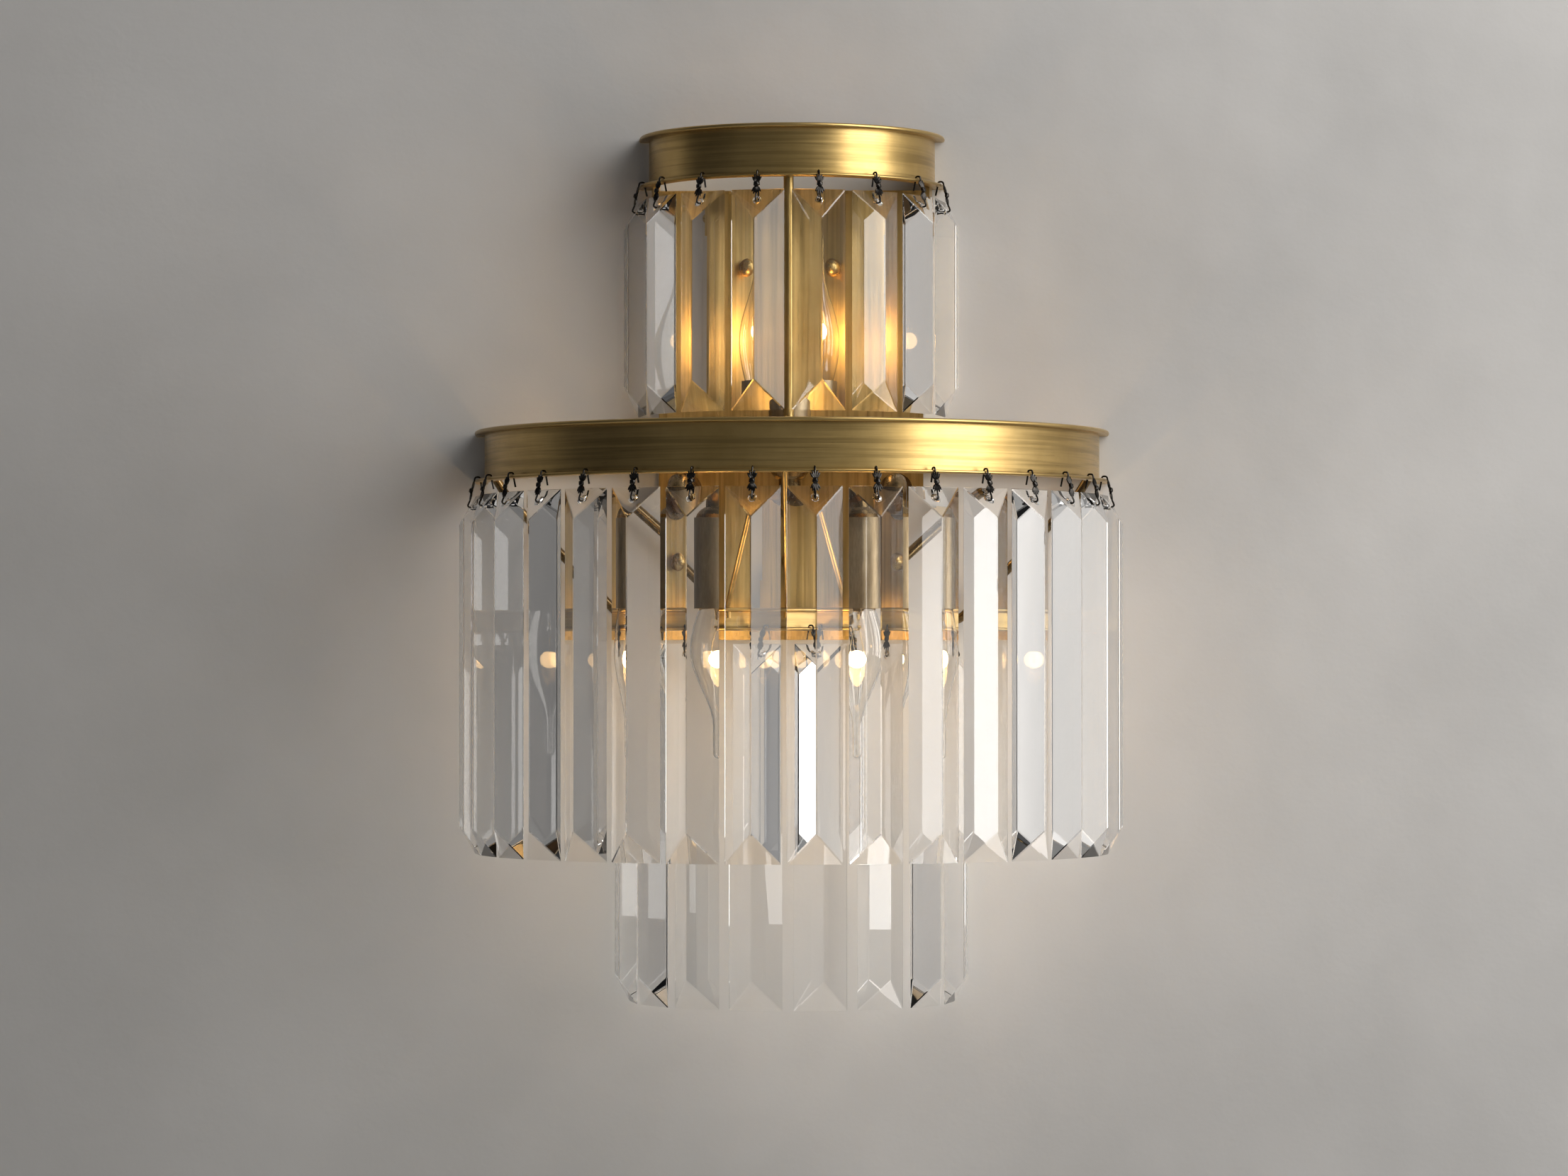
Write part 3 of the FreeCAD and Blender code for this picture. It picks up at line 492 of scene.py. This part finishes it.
def clear_glass(name, tint, ior):
    """Clear polished glass with faint draws in its tint. It lets light through to what is behind it."""
    finish = Finish(name)
    draws = finish.noise(GLASS_DRAWS, detail=4.0)
    colour = finish.ramp(draws, [(0.3, tuple(0.975 * c for c in tint)), (0.7, tint)])
    finish.set(Base_Color=colour, Roughness=0.0, IOR=ior, Transmission_Weight=1.0)
    passing = finish.add("ShaderNodeBsdfTransparent")
    passing.inputs["Color"].default_value = SHADE_OF_GLASS
    ray = finish.add("ShaderNodeLightPath")
    mix = finish.add("ShaderNodeMixShader")
    finish.link(ray.outputs["Is Shadow Ray"], mix.inputs[0])
    finish.link(finish.shader.outputs[0], mix.inputs[1])
    finish.link(passing.outputs[0], mix.inputs[2])
    finish.link(mix.outputs[0], finish.output.inputs["Surface"])
    return finish.material


def moulded_plastic(name, colour):
    """Dull moulded plastic with a fine grain."""
    finish = Finish(name)
    grain = finish.noise(PLASTIC_GRAIN, detail=3.0)
    shade = finish.blend(finish.span(grain, 0.0, 0.5), colour, tuple(1.7 * c for c in colour))
    finish.set(Base_Color=shade, Roughness=finish.span(grain, 0.4, 0.58))
    finish.relief(grain, 0.02 * MM, 0.4)
    return finish.material


def glowing(name, colour, strength):
    """Hot filament wire."""
    finish = Finish(name)
    heat = finish.noise(HOT_SPOTS, detail=1.0)
    hotter = tuple(min(1, 1.15 * c) for c in colour)
    finish.set(Base_Color=(*colour, 1), Roughness=0.5, Emission_Strength=strength,
               Emission_Color=finish.ramp(heat, [(0.3, colour), (0.7, hotter)]))
    return finish.material


def tone(colour):
    """A colour property's default, size and limits."""
    return dict(subtype="COLOR", size=3, min=0.0, max=1.0, default=colour)


# ---------------------------------------------------------------- what a user would change

class SconceSizes(bpy.types.PropertyGroup):
    """Sizes of what is modelled here; every place comes from the frame."""
    prism_width: bpy.props.FloatProperty(
        name="Prism width", description="Width of a prism's flat back",
        default=30.0 * MM, unit="LENGTH", precision=5)
    prism_depth: bpy.props.FloatProperty(
        name="Prism depth", description="From a prism's flat back to its front ridge",
        default=10.7 * MM, unit="LENGTH", precision=5)
    prism_setback: bpy.props.FloatProperty(
        name="Prism setback", description="From a ring's rim in to a prism's flat back",
        default=1.2 * MM, unit="LENGTH", precision=5)
    prism_facet: bpy.props.FloatProperty(
        name="Prism facet", description="Height of the slanting facet at a prism's ends",
        default=16.5 * MM, unit="LENGTH", precision=5)
    prism_arris: bpy.props.FloatProperty(
        name="Prism arris", description="Width of the polished arris on a prism's edges",
        default=0.45 * MM, min=0.05 * MM, max=1.0 * MM, unit="LENGTH", precision=5)
    prism_bore: bpy.props.FloatProperty(
        name="Prism bore", description="Radius of the hole that the clip's loop goes through",
        default=1.7 * MM, unit="LENGTH", precision=5)
    clip_wire: bpy.props.FloatProperty(
        name="Clip wire", description="Thickness of the clip's wire",
        default=1.0 * MM, unit="LENGTH", precision=5)
    fan_width: bpy.props.FloatProperty(
        name="Fan width", description="Width of a clip's fan shell",
        default=5.0 * MM, unit="LENGTH", precision=5)
    fan_reach: bpy.props.FloatProperty(
        name="Fan reach", description="From a clip's waist to a fan's tip",
        default=6.3 * MM, unit="LENGTH", precision=5)
    clip_lean: bpy.props.FloatProperty(
        name="Clip lean", description="How far a clip leans out over its prism's facet",
        default=math.radians(11.9), unit="ROTATION")
    bead: bpy.props.FloatProperty(
        name="Bead radius", description="Radius of the faceted bead at a clip's waist",
        default=1.9 * MM, unit="LENGTH", precision=5)
    glass_wall: bpy.props.FloatProperty(
        name="Bulb glass", description="Wall of a bulb's envelope",
        default=0.6 * MM, unit="LENGTH", precision=5)
    filament: bpy.props.FloatProperty(
        name="Filament", description="Thickness of the coiled filament",
        default=0.28 * MM, unit="LENGTH", precision=5)


class SconceFinishes(bpy.types.PropertyGroup):
    """Colours of the finishes."""
    brass_light: bpy.props.FloatVectorProperty(
        name="Brass", description="Aged brass where it is brightest", **tone((0.60, 0.42, 0.17)))
    brass_dark: bpy.props.FloatVectorProperty(
        name="Brass in shade", description="Aged brass where it has darkened", **tone((0.46, 0.31, 0.11)))
    bronze_light: bpy.props.FloatVectorProperty(
        name="Bronze", description="Dark brass of arms, cups and nuts", **tone((0.36, 0.25, 0.12)))
    bronze_dark: bpy.props.FloatVectorProperty(
        name="Bronze in shade", description="The darkest of the dark brass", **tone((0.17, 0.11, 0.05)))
    sleeve_light: bpy.props.FloatVectorProperty(
        name="Sleeve", description="Candle sleeve's lighter patches", **tone((0.42, 0.33, 0.21)))
    sleeve_dark: bpy.props.FloatVectorProperty(
        name="Sleeve in shade", description="Candle sleeve's darker patches", **tone((0.22, 0.16, 0.09)))
    gunmetal: bpy.props.FloatVectorProperty(
        name="Gunmetal", description="Black nickel of the clips", **tone((0.025, 0.023, 0.021)))
    glow: bpy.props.FloatVectorProperty(
        name="Glow", description="Colour of a lit filament", **tone((1.0, 0.62, 0.26)))


class SconceStage(bpy.types.PropertyGroup):
    """Wall, lamps and camera."""
    wall: bpy.props.FloatVectorProperty(
        name="Wall", description="Colour of the plaster", **tone((0.48, 0.47, 0.46)))
    key_power: bpy.props.FloatProperty(
        name="Key lamp",
        description="Power of the large lamp at the right, and by a share of the one above it",
        default=27.0, min=0.0, unit="POWER")
    fill_power: bpy.props.FloatProperty(
        name="Fill lamp", description="Power of the lamp at the left",
        default=0.2, min=0.0, unit="POWER")
    rear_power: bpy.props.FloatProperty(
        name="Rear lamp", description="Power of the lamp behind the wall",
        default=30.0, min=0.0, unit="POWER")
    bulb_power: bpy.props.FloatProperty(
        name="Bulb light", description="Power of the warm light in each bulb",
        default=0.2, min=0.0, unit="POWER")
    camera_reach: bpy.props.FloatProperty(
        name="Camera reach", description="Distance of the camera from the wall",
        default=2.8, unit="LENGTH")
    lens: bpy.props.FloatProperty(
        name="Lens", description="Focal length in millimetres on a 36 mm sensor", default=115.75)


def sizes():
    """The sizes as they are set."""
    return bpy.context.scene.sconce_sizes


def finishes():
    """The colours as they are set."""
    return bpy.context.scene.sconce_finishes


def staging():
    """The stage as it is set."""
    return bpy.context.scene.sconce_stage


# ---------------------------------------------------------------- the stage

def plaster(name, colour):
    """Pale plaster that is seen from the front only."""
    finish = Finish(name)
    sweep = finish.noise(WALL_SWEEP, detail=5.0, roughness=0.6)
    trowel = finish.noise(WALL_TROWEL, detail=6.0, roughness=0.65)
    darker = tuple(0.84 * c for c in colour)
    lighter = tuple(1.1 * c for c in colour)
    shade = finish.ramp(sweep, [(0.32, darker), (0.68, lighter)])
    finish.set(Base_Color=shade, Roughness=0.75, Specular_IOR_Level=0.25)
    finish.relief(trowel, 1.6 * MM, 0.5)
    away = finish.add("ShaderNodeBsdfTransparent")
    side = finish.add("ShaderNodeNewGeometry")
    mix = finish.add("ShaderNodeMixShader")
    finish.link(side.outputs["Backfacing"], mix.inputs[0])
    finish.link(finish.shader.outputs[0], mix.inputs[1])
    finish.link(away.outputs[0], mix.inputs[2])
    finish.link(mix.outputs[0], finish.output.inputs["Surface"])
    return finish.material


def pale_floor(name, colour):
    """Plain pale floor."""
    finish = Finish(name)
    sweep = finish.noise(FLOOR_SWEEP, detail=3.0)
    shade = finish.ramp(sweep, [(0.3, tuple(0.95 * c for c in colour)), (0.7, colour)])
    finish.set(Base_Color=shade, Roughness=0.7)
    return finish.material


def soft_lamp(name, place, target, width, height, power, colour):
    """A rectangular soft lamp aimed at a point."""
    deselect_all()
    bpy.ops.object.light_add(type="AREA", location=place)
    lamp = bpy.context.object
    lamp.name = name
    lamp.data.shape = "RECTANGLE"
    lamp.data.size = width
    lamp.data.size_y = height
    lamp.data.energy = power
    lamp.data.color = colour
    lamp.rotation_euler = (Vector(target) - Vector(place)).to_track_quat("-Z", "Y").to_euler()


class SCONCE_OT_stage(bpy.types.Operator):
    """Lay the wall, the floor, the lamps and the camera"""
    bl_idname = "sconce.stage"
    bl_label = "Lay the stage"

    def execute(self, context):
        stage = staging()
        deselect_all()
        bpy.ops.mesh.primitive_plane_add(size=STAGE_SIZE, location=(0, WALL_BEHIND, 0),
                                         rotation=(math.pi / 2, 0, 0))
        wall = take("plaster_wall")
        coat(wall, plaster("plaster", stage.wall))
        # Light reaches the sconce's back through the wall, which is seen from the front only.
        wall.visible_shadow = False
        bpy.ops.mesh.primitive_plane_add(size=STAGE_SIZE, location=(0, 0, FLOOR_HEIGHT))
        floor = take("pale_floor")
        coat(floor, pale_floor("floor", FLOOR_COLOUR))
        self.lamps(stage)
        self.world()
        self.camera(stage)
        return {"FINISHED"}

    def lamps(self, stage):
        """A large lamp at the right, the key above it, a dim fill at the left, and one behind the wall."""
        power = stage.key_power
        soft_lamp("side", SIDE_PLACE, AIM, 1.2, 1.6, power, WARM_WHITE)
        soft_lamp("key", KEY_PLACE, AIM, 1.0, 1.0, power * KEY_SHARE, WARM_WHITE)
        soft_lamp("fill", FILL_PLACE, FILL_AIM, 1.0, 1.4, stage.fill_power, COOL_WHITE)
        soft_lamp("rear", REAR_PLACE, AIM, 1.6, 1.6, stage.rear_power, PLAIN_WHITE)

    def world(self):
        """A grey room, darker at the left."""
        world = bpy.data.worlds.new("room")
        bpy.context.scene.world = world
        world.use_nodes = True
        tree = world.node_tree
        background = tree.nodes["Background"]
        spots = tree.nodes.new("ShaderNodeTexCoord")
        parts = tree.nodes.new("ShaderNodeSeparateXYZ")
        reach = tree.nodes.new("ShaderNodeMapRange")
        ramp = tree.nodes.new("ShaderNodeValToRGB")
        reach.inputs["From Min"].default_value = -1.0
        ramp.color_ramp.elements[0].color = ROOM_LEFT
        ramp.color_ramp.elements[1].color = ROOM_RIGHT
        tree.links.new(spots.outputs["Generated"], parts.inputs["Vector"])
        tree.links.new(parts.outputs["X"], reach.inputs["Value"])
        tree.links.new(reach.outputs["Result"], ramp.inputs["Fac"])
        tree.links.new(ramp.outputs["Color"], background.inputs["Color"])
        bpy.context.scene.view_settings.view_transform = "Standard"

    def camera(self, stage):
        """The photograph's angle: a long lens, a little right of and below the sconce's middle."""
        eye = Vector((CAMERA_SIDE, -stage.camera_reach, CAMERA_HEIGHT))
        aim = Vector(CAMERA_AIM)
        deselect_all()
        bpy.ops.object.camera_add(location=eye)
        camera = bpy.context.object
        camera.name = "camera"
        camera.data.sensor_width = SENSOR_WIDTH
        camera.data.lens = stage.lens
        camera.rotation_euler = (aim - eye).to_track_quat("-Z", "Y").to_euler()
        bpy.context.scene.camera = camera


# ---------------------------------------------------------------- metalwork: the frame's own nodes

class SCONCE_OT_metalwork(bpy.types.Operator):
    """Give the frame's metal and plastic nodes their finishes"""
    bl_idname = "sconce.metalwork"
    bl_label = "Finish the metalwork"

    def execute(self, context):
        colours = finishes()
        light, dark = tuple(colours.brass_light), tuple(colours.brass_dark)
        bronze, deep = tuple(colours.bronze_light), tuple(colours.bronze_dark)
        sleeve, shade = tuple(colours.sleeve_light), tuple(colours.sleeve_dark)
        ring_brass = brushed_brass("ring_brass", dark, light, "X")
        plate_brass = brushed_brass("plate_brass", dark, light, "Z")
        arm_bronze = mottled_metal("arm_bronze", deep, bronze, rough=0.24, size=70)
        nut_brass = mottled_metal("nut_brass", dark, light, rough=0.28, size=160)
        rod_brass = brushed_brass("rod_brass", tuple(0.9 * c for c in dark), light, "Z")
        sleeve_brass = mottled_metal("sleeve_brass", shade, sleeve,
                                     rough=0.36, size=120, streak=5.0)
        zinc = mottled_metal("zinc", ZINC_DARK, ZINC_LIGHT, rough=0.38, size=110)
        phenolic = moulded_plastic("phenolic", PHENOLIC)
        given = {
            "backplate": plate_brass, "mounting_strap": zinc, "mounting_studs": zinc,
            "ball_cap_nuts": nut_brass, "top_ring": ring_brass, "middle_ring": ring_brass,
            "lower_ring": ring_brass, "ring_brackets": rod_brass, "bracket_screws": nut_brass,
            "cross_bar": rod_brass, "top_post": rod_brass, "front_stay": rod_brass,
            "curved_stays": arm_bronze, "upper_lamp_arm": arm_bronze, "lower_lamp_arms": arm_bronze,
            "arm_lock_rings": arm_bronze, "lamp_cups": arm_bronze, "candle_sleeves": sleeve_brass,
            "lamp_sockets": phenolic,
        }
        for node, material in given.items():
            coat(frame["nodes"][node], material)
        return {"FINISHED"}


# ---------------------------------------------------------------- crystals

def cut_prism(name, given, length, bore_drop):
    """A prism with its rear top edge at the origin: a triangular bar, its ends cut, bored and polished."""
    width, depth, facet = given.prism_width, given.prism_depth, given.prism_facet
    deselect_all()
    # A three-sided bar is one and a half times as deep as its corners are far from its middle.
    corner = depth / 1.5
    bpy.ops.mesh.primitive_cylinder_add(vertices=3, radius=corner, depth=length,
                                        location=(0, 0, -length / 2))
    piece = take(name)
    settle(piece)
    edit(piece)
    # The three-sided bar is widened to the prism's width, then turned so that its ridge is in front.
    middle = (0, 0, -length / 2)
    across = width / (corner * math.sqrt(3))
    bpy.ops.transform.resize(value=(across, 1, 1), center_override=middle)
    bpy.ops.transform.rotate(value=math.pi, orient_axis="Z", center_override=middle)
    leave()
    rear = max(vertex.co.y for vertex in piece.data.vertices)
    piece.location.y = -rear
    settle(piece)
    for height, up in ((0, 1), (-length, -1)):
        edit(piece)
        bpy.ops.mesh.bisect(plane_co=(0, 0, height), plane_no=(0, -facet, up * depth),
                            clear_outer=True, use_fill=True)
        leave()
    deselect_all()
    bpy.ops.mesh.primitive_cylinder_add(vertices=20, radius=given.prism_bore, depth=depth * 4,
                                        location=(0, 0, -bore_drop), rotation=(math.pi / 2, 0, 0))
    drill = take(name + "_drill")
    apply_modifier(piece, "BOOLEAN", operation="DIFFERENCE", object=drill, solver="EXACT")
    discard(drill)
    turned_out(piece)
    apply_modifier(piece, "BEVEL", width=given.prism_arris, segments=1, limit_method="ANGLE",
                   angle_limit=ARRIS_ANGLE)
    return piece


class SCONCE_OT_crystals(bpy.types.Operator):
    """Cut the glass prisms and hang each in its node's place"""
    bl_idname = "sconce.crystals"
    bl_label = "Cut the crystals"

    def execute(self, context):
        given = sizes()
        crystal = clear_glass("crystal", CRYSTAL_TINT, ior=1.52)
        swings = swing_joints()
        for tier in TIERS:
            names = tier_prisms(tier)
            length = tall(names[0])
            bore_drop = high(names[0]).z - swings[names[0]]["pos_m"][2]
            model = cut_prism(tier + "_prism_model", given, length, bore_drop)
            coat(model, crystal)
            for name in names:
                angle = hinge_angle(swings[name])
                place = Matrix.Translation((0, given.prism_setback - rim_radius(tier), high(name).z))
                piece = copy_to(model, "crystal_" + name, round_the_ring(angle) @ place)
                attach(piece, name)
                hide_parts(name)
            discard(model)
        return {"FINISHED"}


# ---------------------------------------------------------------- clips

def fan_shell(name, up, given):
    """A fluted shell, upwards (1) or downwards (-1): five tapered lobes fanned out from the waist."""
    lobes = []
    for place, share in enumerate(LOBE_SHARES, start=-(len(LOBE_SHARES) // 2)):
        long = given.fan_reach * share
        deselect_all()
        bpy.ops.mesh.primitive_uv_sphere_add(segments=8, ring_count=8, radius=1.0, location=(0, 0, 0))
        lobe = take(name + "_lobe")
        edit(lobe)
        bpy.ops.transform.resize(value=(given.fan_width * LOBE_WIDTH, LOBE_THICK, long / 2))
        bpy.ops.transform.translate(value=(0, 0, long / 2))
        # The foot of a lobe is narrow, so that the five meet at the waist.
        pick(lobe, lambda vertex: vertex.co.z < long * LOBE_FOOT)
        bpy.ops.transform.resize(value=LOBE_PINCH, center_override=(0, 0, 0))
        bpy.ops.mesh.select_all(action="SELECT")
        lean = math.radians(LOBE_STEP * place)
        bpy.ops.transform.rotate(value=lean, orient_axis="Y", center_override=(0, 0, 0))
        leave()
        lobes.append(lobe)
    shell = join(lobes, name)
    if up < 0:
        edit(shell)
        bpy.ops.transform.rotate(value=math.pi, orient_axis="Y", center_override=(0, 0, 0))
        leave()
    return shell


def bow_tie_clip(given):
    """One clip, with the flange's rim at the origin: hook, two leaning fans, bead and loop."""
    parts = []
    for name, spots in (("hook", HOOK_PATH), ("loop", LOOP_PATH)):
        route = [Vector((0, inward, height)) * MM for inward, height in spots]
        parts.append(drawn_wire(name, route, given.clip_wire))
    deselect_all()
    bpy.ops.mesh.primitive_ico_sphere_add(subdivisions=1, radius=given.bead,
                                          location=(0, -BEAD_FORWARD, 0))
    bead = take("bead")
    edit(bead)
    bpy.ops.transform.resize(value=BEAD_SHAPE)
    bpy.ops.mesh.bevel(offset=BEAD_BEVEL, affect="EDGES", segments=1)
    leave()
    settle(bead)
    # The fans and the bead lean outwards over the prism's facet.
    bow = join([fan_shell("upper_fan", 1, given), fan_shell("lower_fan", -1, given), bead], "bow")
    bow.rotation_euler.x = -given.clip_lean
    bow.location = (0, WAIST_SPOT[0] * MM, WAIST_SPOT[1] * MM)
    settle(bow)
    clip = join(parts + [bow], "clip_model")
    smooth(clip, degrees=30)
    return clip


class SCONCE_OT_clips(bpy.types.Operator):
    """Bend the bow-tie clips and hook them over the rings"""
    bl_idname = "sconce.clips"
    bl_label = "Bend the clips"

    def execute(self, context):
        black = tuple(finishes().gunmetal)
        lifted = tuple(GUNMETAL_LIFT * c for c in black)
        gunmetal = mottled_metal("gunmetal", black, lifted, rough=0.16, size=400)
        model = bow_tie_clip(sizes())
        coat(model, gunmetal)
        swings = swing_joints()
        for tier in TIERS:
            copies = []
            for name in tier_prisms(tier):
                place = Matrix.Translation((0, -rim_radius(tier), ring_underside(tier)))
                matrix = round_the_ring(hinge_angle(swings[name])) @ place
                copies.append(copy_to(model, name.replace("prism", "clip"), matrix))
            row = join(copies, tier + "_clip_row")
            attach(row, ROOT)
            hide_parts(tier + "_clips")
        discard(model)
        return {"FINISHED"}


# ---------------------------------------------------------------- bulbs

def flame_profile(length, radius, neck, nub):
    """The envelope's outside, from its neck to its drawn-out tip."""
    swell = SWELL_SHARE * length
    waist = TAPER_SHARE * length
    profile = [(neck, 0.0)]
    for step in range(1, BELLY_STEPS + 1):
        share = step / BELLY_STEPS
        rise = math.sin(share * math.pi / 2) ** BELLY_POWER
        profile.append((neck + (radius - neck) * rise, swell * share))
    for step in range(1, TAPER_STEPS + 1):
        share = step / TAPER_STEPS
        fall = (0.5 + 0.5 * math.cos(math.pi * share)) ** TAPER_POWER
        profile.append((nub + (radius - nub) * fall, swell + (waist - swell) * share))
    profile.append((nub * TIP_SHARE, length - nub * 1.2))
    for step in range(TIP_STEPS):
        turn = math.pi / 2 * step / TIP_STEPS
        profile.append((nub * TIP_SHARE * math.cos(turn), length - nub + nub * math.sin(turn)))
    profile.append((0.0, length))
    return profile


def lamp_place(number):
    """Where a lamp's mouth is and which way up it stands, as a matrix."""
    cap_low, cap_high = low("bulb_cap_" + number), high("bulb_cap_" + number)
    glass_low, glass_high = low("bulb_glass_" + number), high("bulb_glass_" + number)
    centre = (cap_low + cap_high) / 2
    upright = glass_high.z > cap_high.z + 1 * MM and glass_low.z > cap_low.z
    foot = glass_low.z if upright else glass_high.z
    turn = Matrix.Identity(4) if upright else Matrix.Rotation(math.pi, 4, "X")
    return Matrix.Translation((centre.x, centre.y, foot)) @ turn


class SCONCE_OT_bulbs(bpy.types.Operator):
    """Blow the bulbs' glass and put the filament, stem and threaded cap in"""
    bl_idname = "sconce.bulbs"
    bl_label = "Blow the bulbs"

    def execute(self, context):
        given = sizes()
        glass = clear_glass("bulb_glass", BULB_TINT, ior=1.45)
        hot = glowing("filament", tuple(finishes().glow), FILAMENT_GLOW)
        nickel = mottled_metal("lamp_nickel", NICKEL_DARK, NICKEL_LIGHT, rough=0.3, size=300)
        envelope = self.envelope(given)
        stem = self.stem()
        wires = self.wires()
        coil = self.coil(given)
        cap = self.cap()
        parts = (("envelope", envelope, glass, "bulb_glass"), ("stem", stem, glass, "bulb_glass"),
                 ("lead_wires", wires, nickel, "lamp_cap"), ("filament", coil, hot, "lamp_cap"),
                 ("threaded_cap", cap, nickel, "lamp_cap"))
        for name, model, material, slot in parts:
            coat(model, material)
            for number in LAMPS:
                piece = copy_to(model, name + "_" + number, lamp_place(number))
                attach(piece, "bulb_" + number)
                if name == "envelope":
                    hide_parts("bulb_glass_" + number)
                if name == "threaded_cap":
                    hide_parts("bulb_cap_" + number)
            discard(model)
        for number in LAMPS:
            self.light(number)
        return {"FINISHED"}

    def envelope(self, given):
        """Thin flame-shaped glass, closed at the foot."""
        length = tall("bulb_glass_1")
        radius = (high("bulb_glass_1").x - low("bulb_glass_1").x) / 2
        profile = [(0.0, 0.0), (BULB_NECK * 0.5, 0.0)]
        profile += flame_profile(length, radius, BULB_NECK, BULB_NUB)
        model = spun("envelope_model", profile, steps=40)
        apply_modifier(model, "SOLIDIFY", thickness=given.glass_wall, offset=-1.0)
        smooth(model, degrees=40)
        return model

    def stem(self):
        """The pinched glass mount inside the neck."""
        profile = [(radius * MM, height * MM) for radius, height in STEM_OUTLINE]
        model = spun("stem_model", profile, steps=20)
        smooth(model, degrees=50)
        return model

    def wires(self):
        """Two lead wires that spread from the stem and hold the filament."""
        runs = []
        for side in (-1, 1):
            route = [Vector((side * across, 0, height)) * MM for across, height in LEAD_ROUTE]
            runs.append(drawn_wire("lead", route, LEAD_WIRE, sides=1))
        return join(runs, "lead_model")

    def coil(self, given):
        """The filament: a fine coil in an arch from lead to lead."""
        count = COIL_TURNS * COIL_STEPS
        spots = []
        for step in range(count + 1):
            share = step / count
            across = math.cos(math.pi * share) * ARCH_HALF
            rise = ARCH_FOOT + ARCH_RISE * math.sin(math.pi * share)
            whirl = math.tau * share * COIL_TURNS
            spots.append(Vector((across, COIL_RADIUS * math.cos(whirl),
                                 rise + COIL_RADIUS * math.sin(whirl))) * MM)
        return drawn_wire("coil_model", spots, given.filament, sides=1)

    def cap(self):
        """The threaded cap: rolled turns above its tapered end and contact."""
        height = tall("bulb_cap_1")
        profile = [(radius * MM, rise * MM - height) for radius, rise in CAP_END]
        turns = int((height - THREAD_SPARE) / THREAD_PITCH)
        start = THREAD_START - height
        for turn in range(turns):
            foot = start + turn * THREAD_PITCH
            profile += [(radius * MM, foot + THREAD_PITCH * share) for radius, share in THREAD_TURN]
        profile += [(THREAD_ROOT, start + turns * THREAD_PITCH), (CAP_LIP, -LIP_HEIGHT), (CAP_LIP, 0.0),
                    (0.0, 0.0)]
        model = spun("cap_model", profile, steps=32)
        smooth(model, degrees=50)
        return model

    def light(self, number):
        """The warm light of a lit bulb."""
        deselect_all()
        place = lamp_place(number) @ Vector((0, 0, GLOW_HEIGHT))
        bpy.ops.object.light_add(type="POINT", location=place)
        lamp = bpy.context.object
        lamp.name = "glow_" + number
        lamp.data.energy = staging().bulb_power
        lamp.data.color = tuple(finishes().glow)
        lamp.data.shadow_soft_size = GLOW_RADIUS


# ---------------------------------------------------------------- panel, registration and the run

OPERATORS = (SCONCE_OT_stage, SCONCE_OT_metalwork, SCONCE_OT_crystals, SCONCE_OT_clips, SCONCE_OT_bulbs)


class SCONCE_PT_panel(bpy.types.Panel):
    """The sconce's steps and what can be changed"""
    bl_idname = "SCONCE_PT_panel"
    bl_label = "Crystal Wall Sconce"
    bl_space_type = "VIEW_3D"
    bl_region_type = "UI"
    bl_category = "Sconce"

    def draw(self, context):
        column = self.layout.column()
        for group in (sizes(), finishes(), staging()):
            for name in group.__annotations__:
                column.prop(group, name)
        for operator in OPERATORS:
            column.operator(operator.bl_idname)


GROUPS = (("sconce_sizes", SconceSizes), ("sconce_finishes", SconceFinishes), ("sconce_stage", SconceStage))


def register():
    """Register the classes and hang the settings on the scene."""
    for name, group in GROUPS:
        bpy.utils.register_class(group)
        setattr(bpy.types.Scene, name, bpy.props.PointerProperty(type=group))
    for operator in OPERATORS:
        bpy.utils.register_class(operator)
    bpy.utils.register_class(SCONCE_PT_panel)


def unregister():
    """Undo register."""
    bpy.utils.unregister_class(SCONCE_PT_panel)
    for operator in reversed(OPERATORS):
        bpy.utils.unregister_class(operator)
    for name, group in reversed(GROUPS):
        delattr(bpy.types.Scene, name)
        bpy.utils.unregister_class(group)


def main():
    """Make the whole sconce."""
    register()
    bpy.ops.sconce.stage()
    bpy.ops.sconce.metalwork()
    bpy.ops.sconce.crystals()
    bpy.ops.sconce.clips()
    bpy.ops.sconce.bulbs()
    deselect_all()
    bpy.context.view_layer.update()


if __name__ == "__main__":
    main()
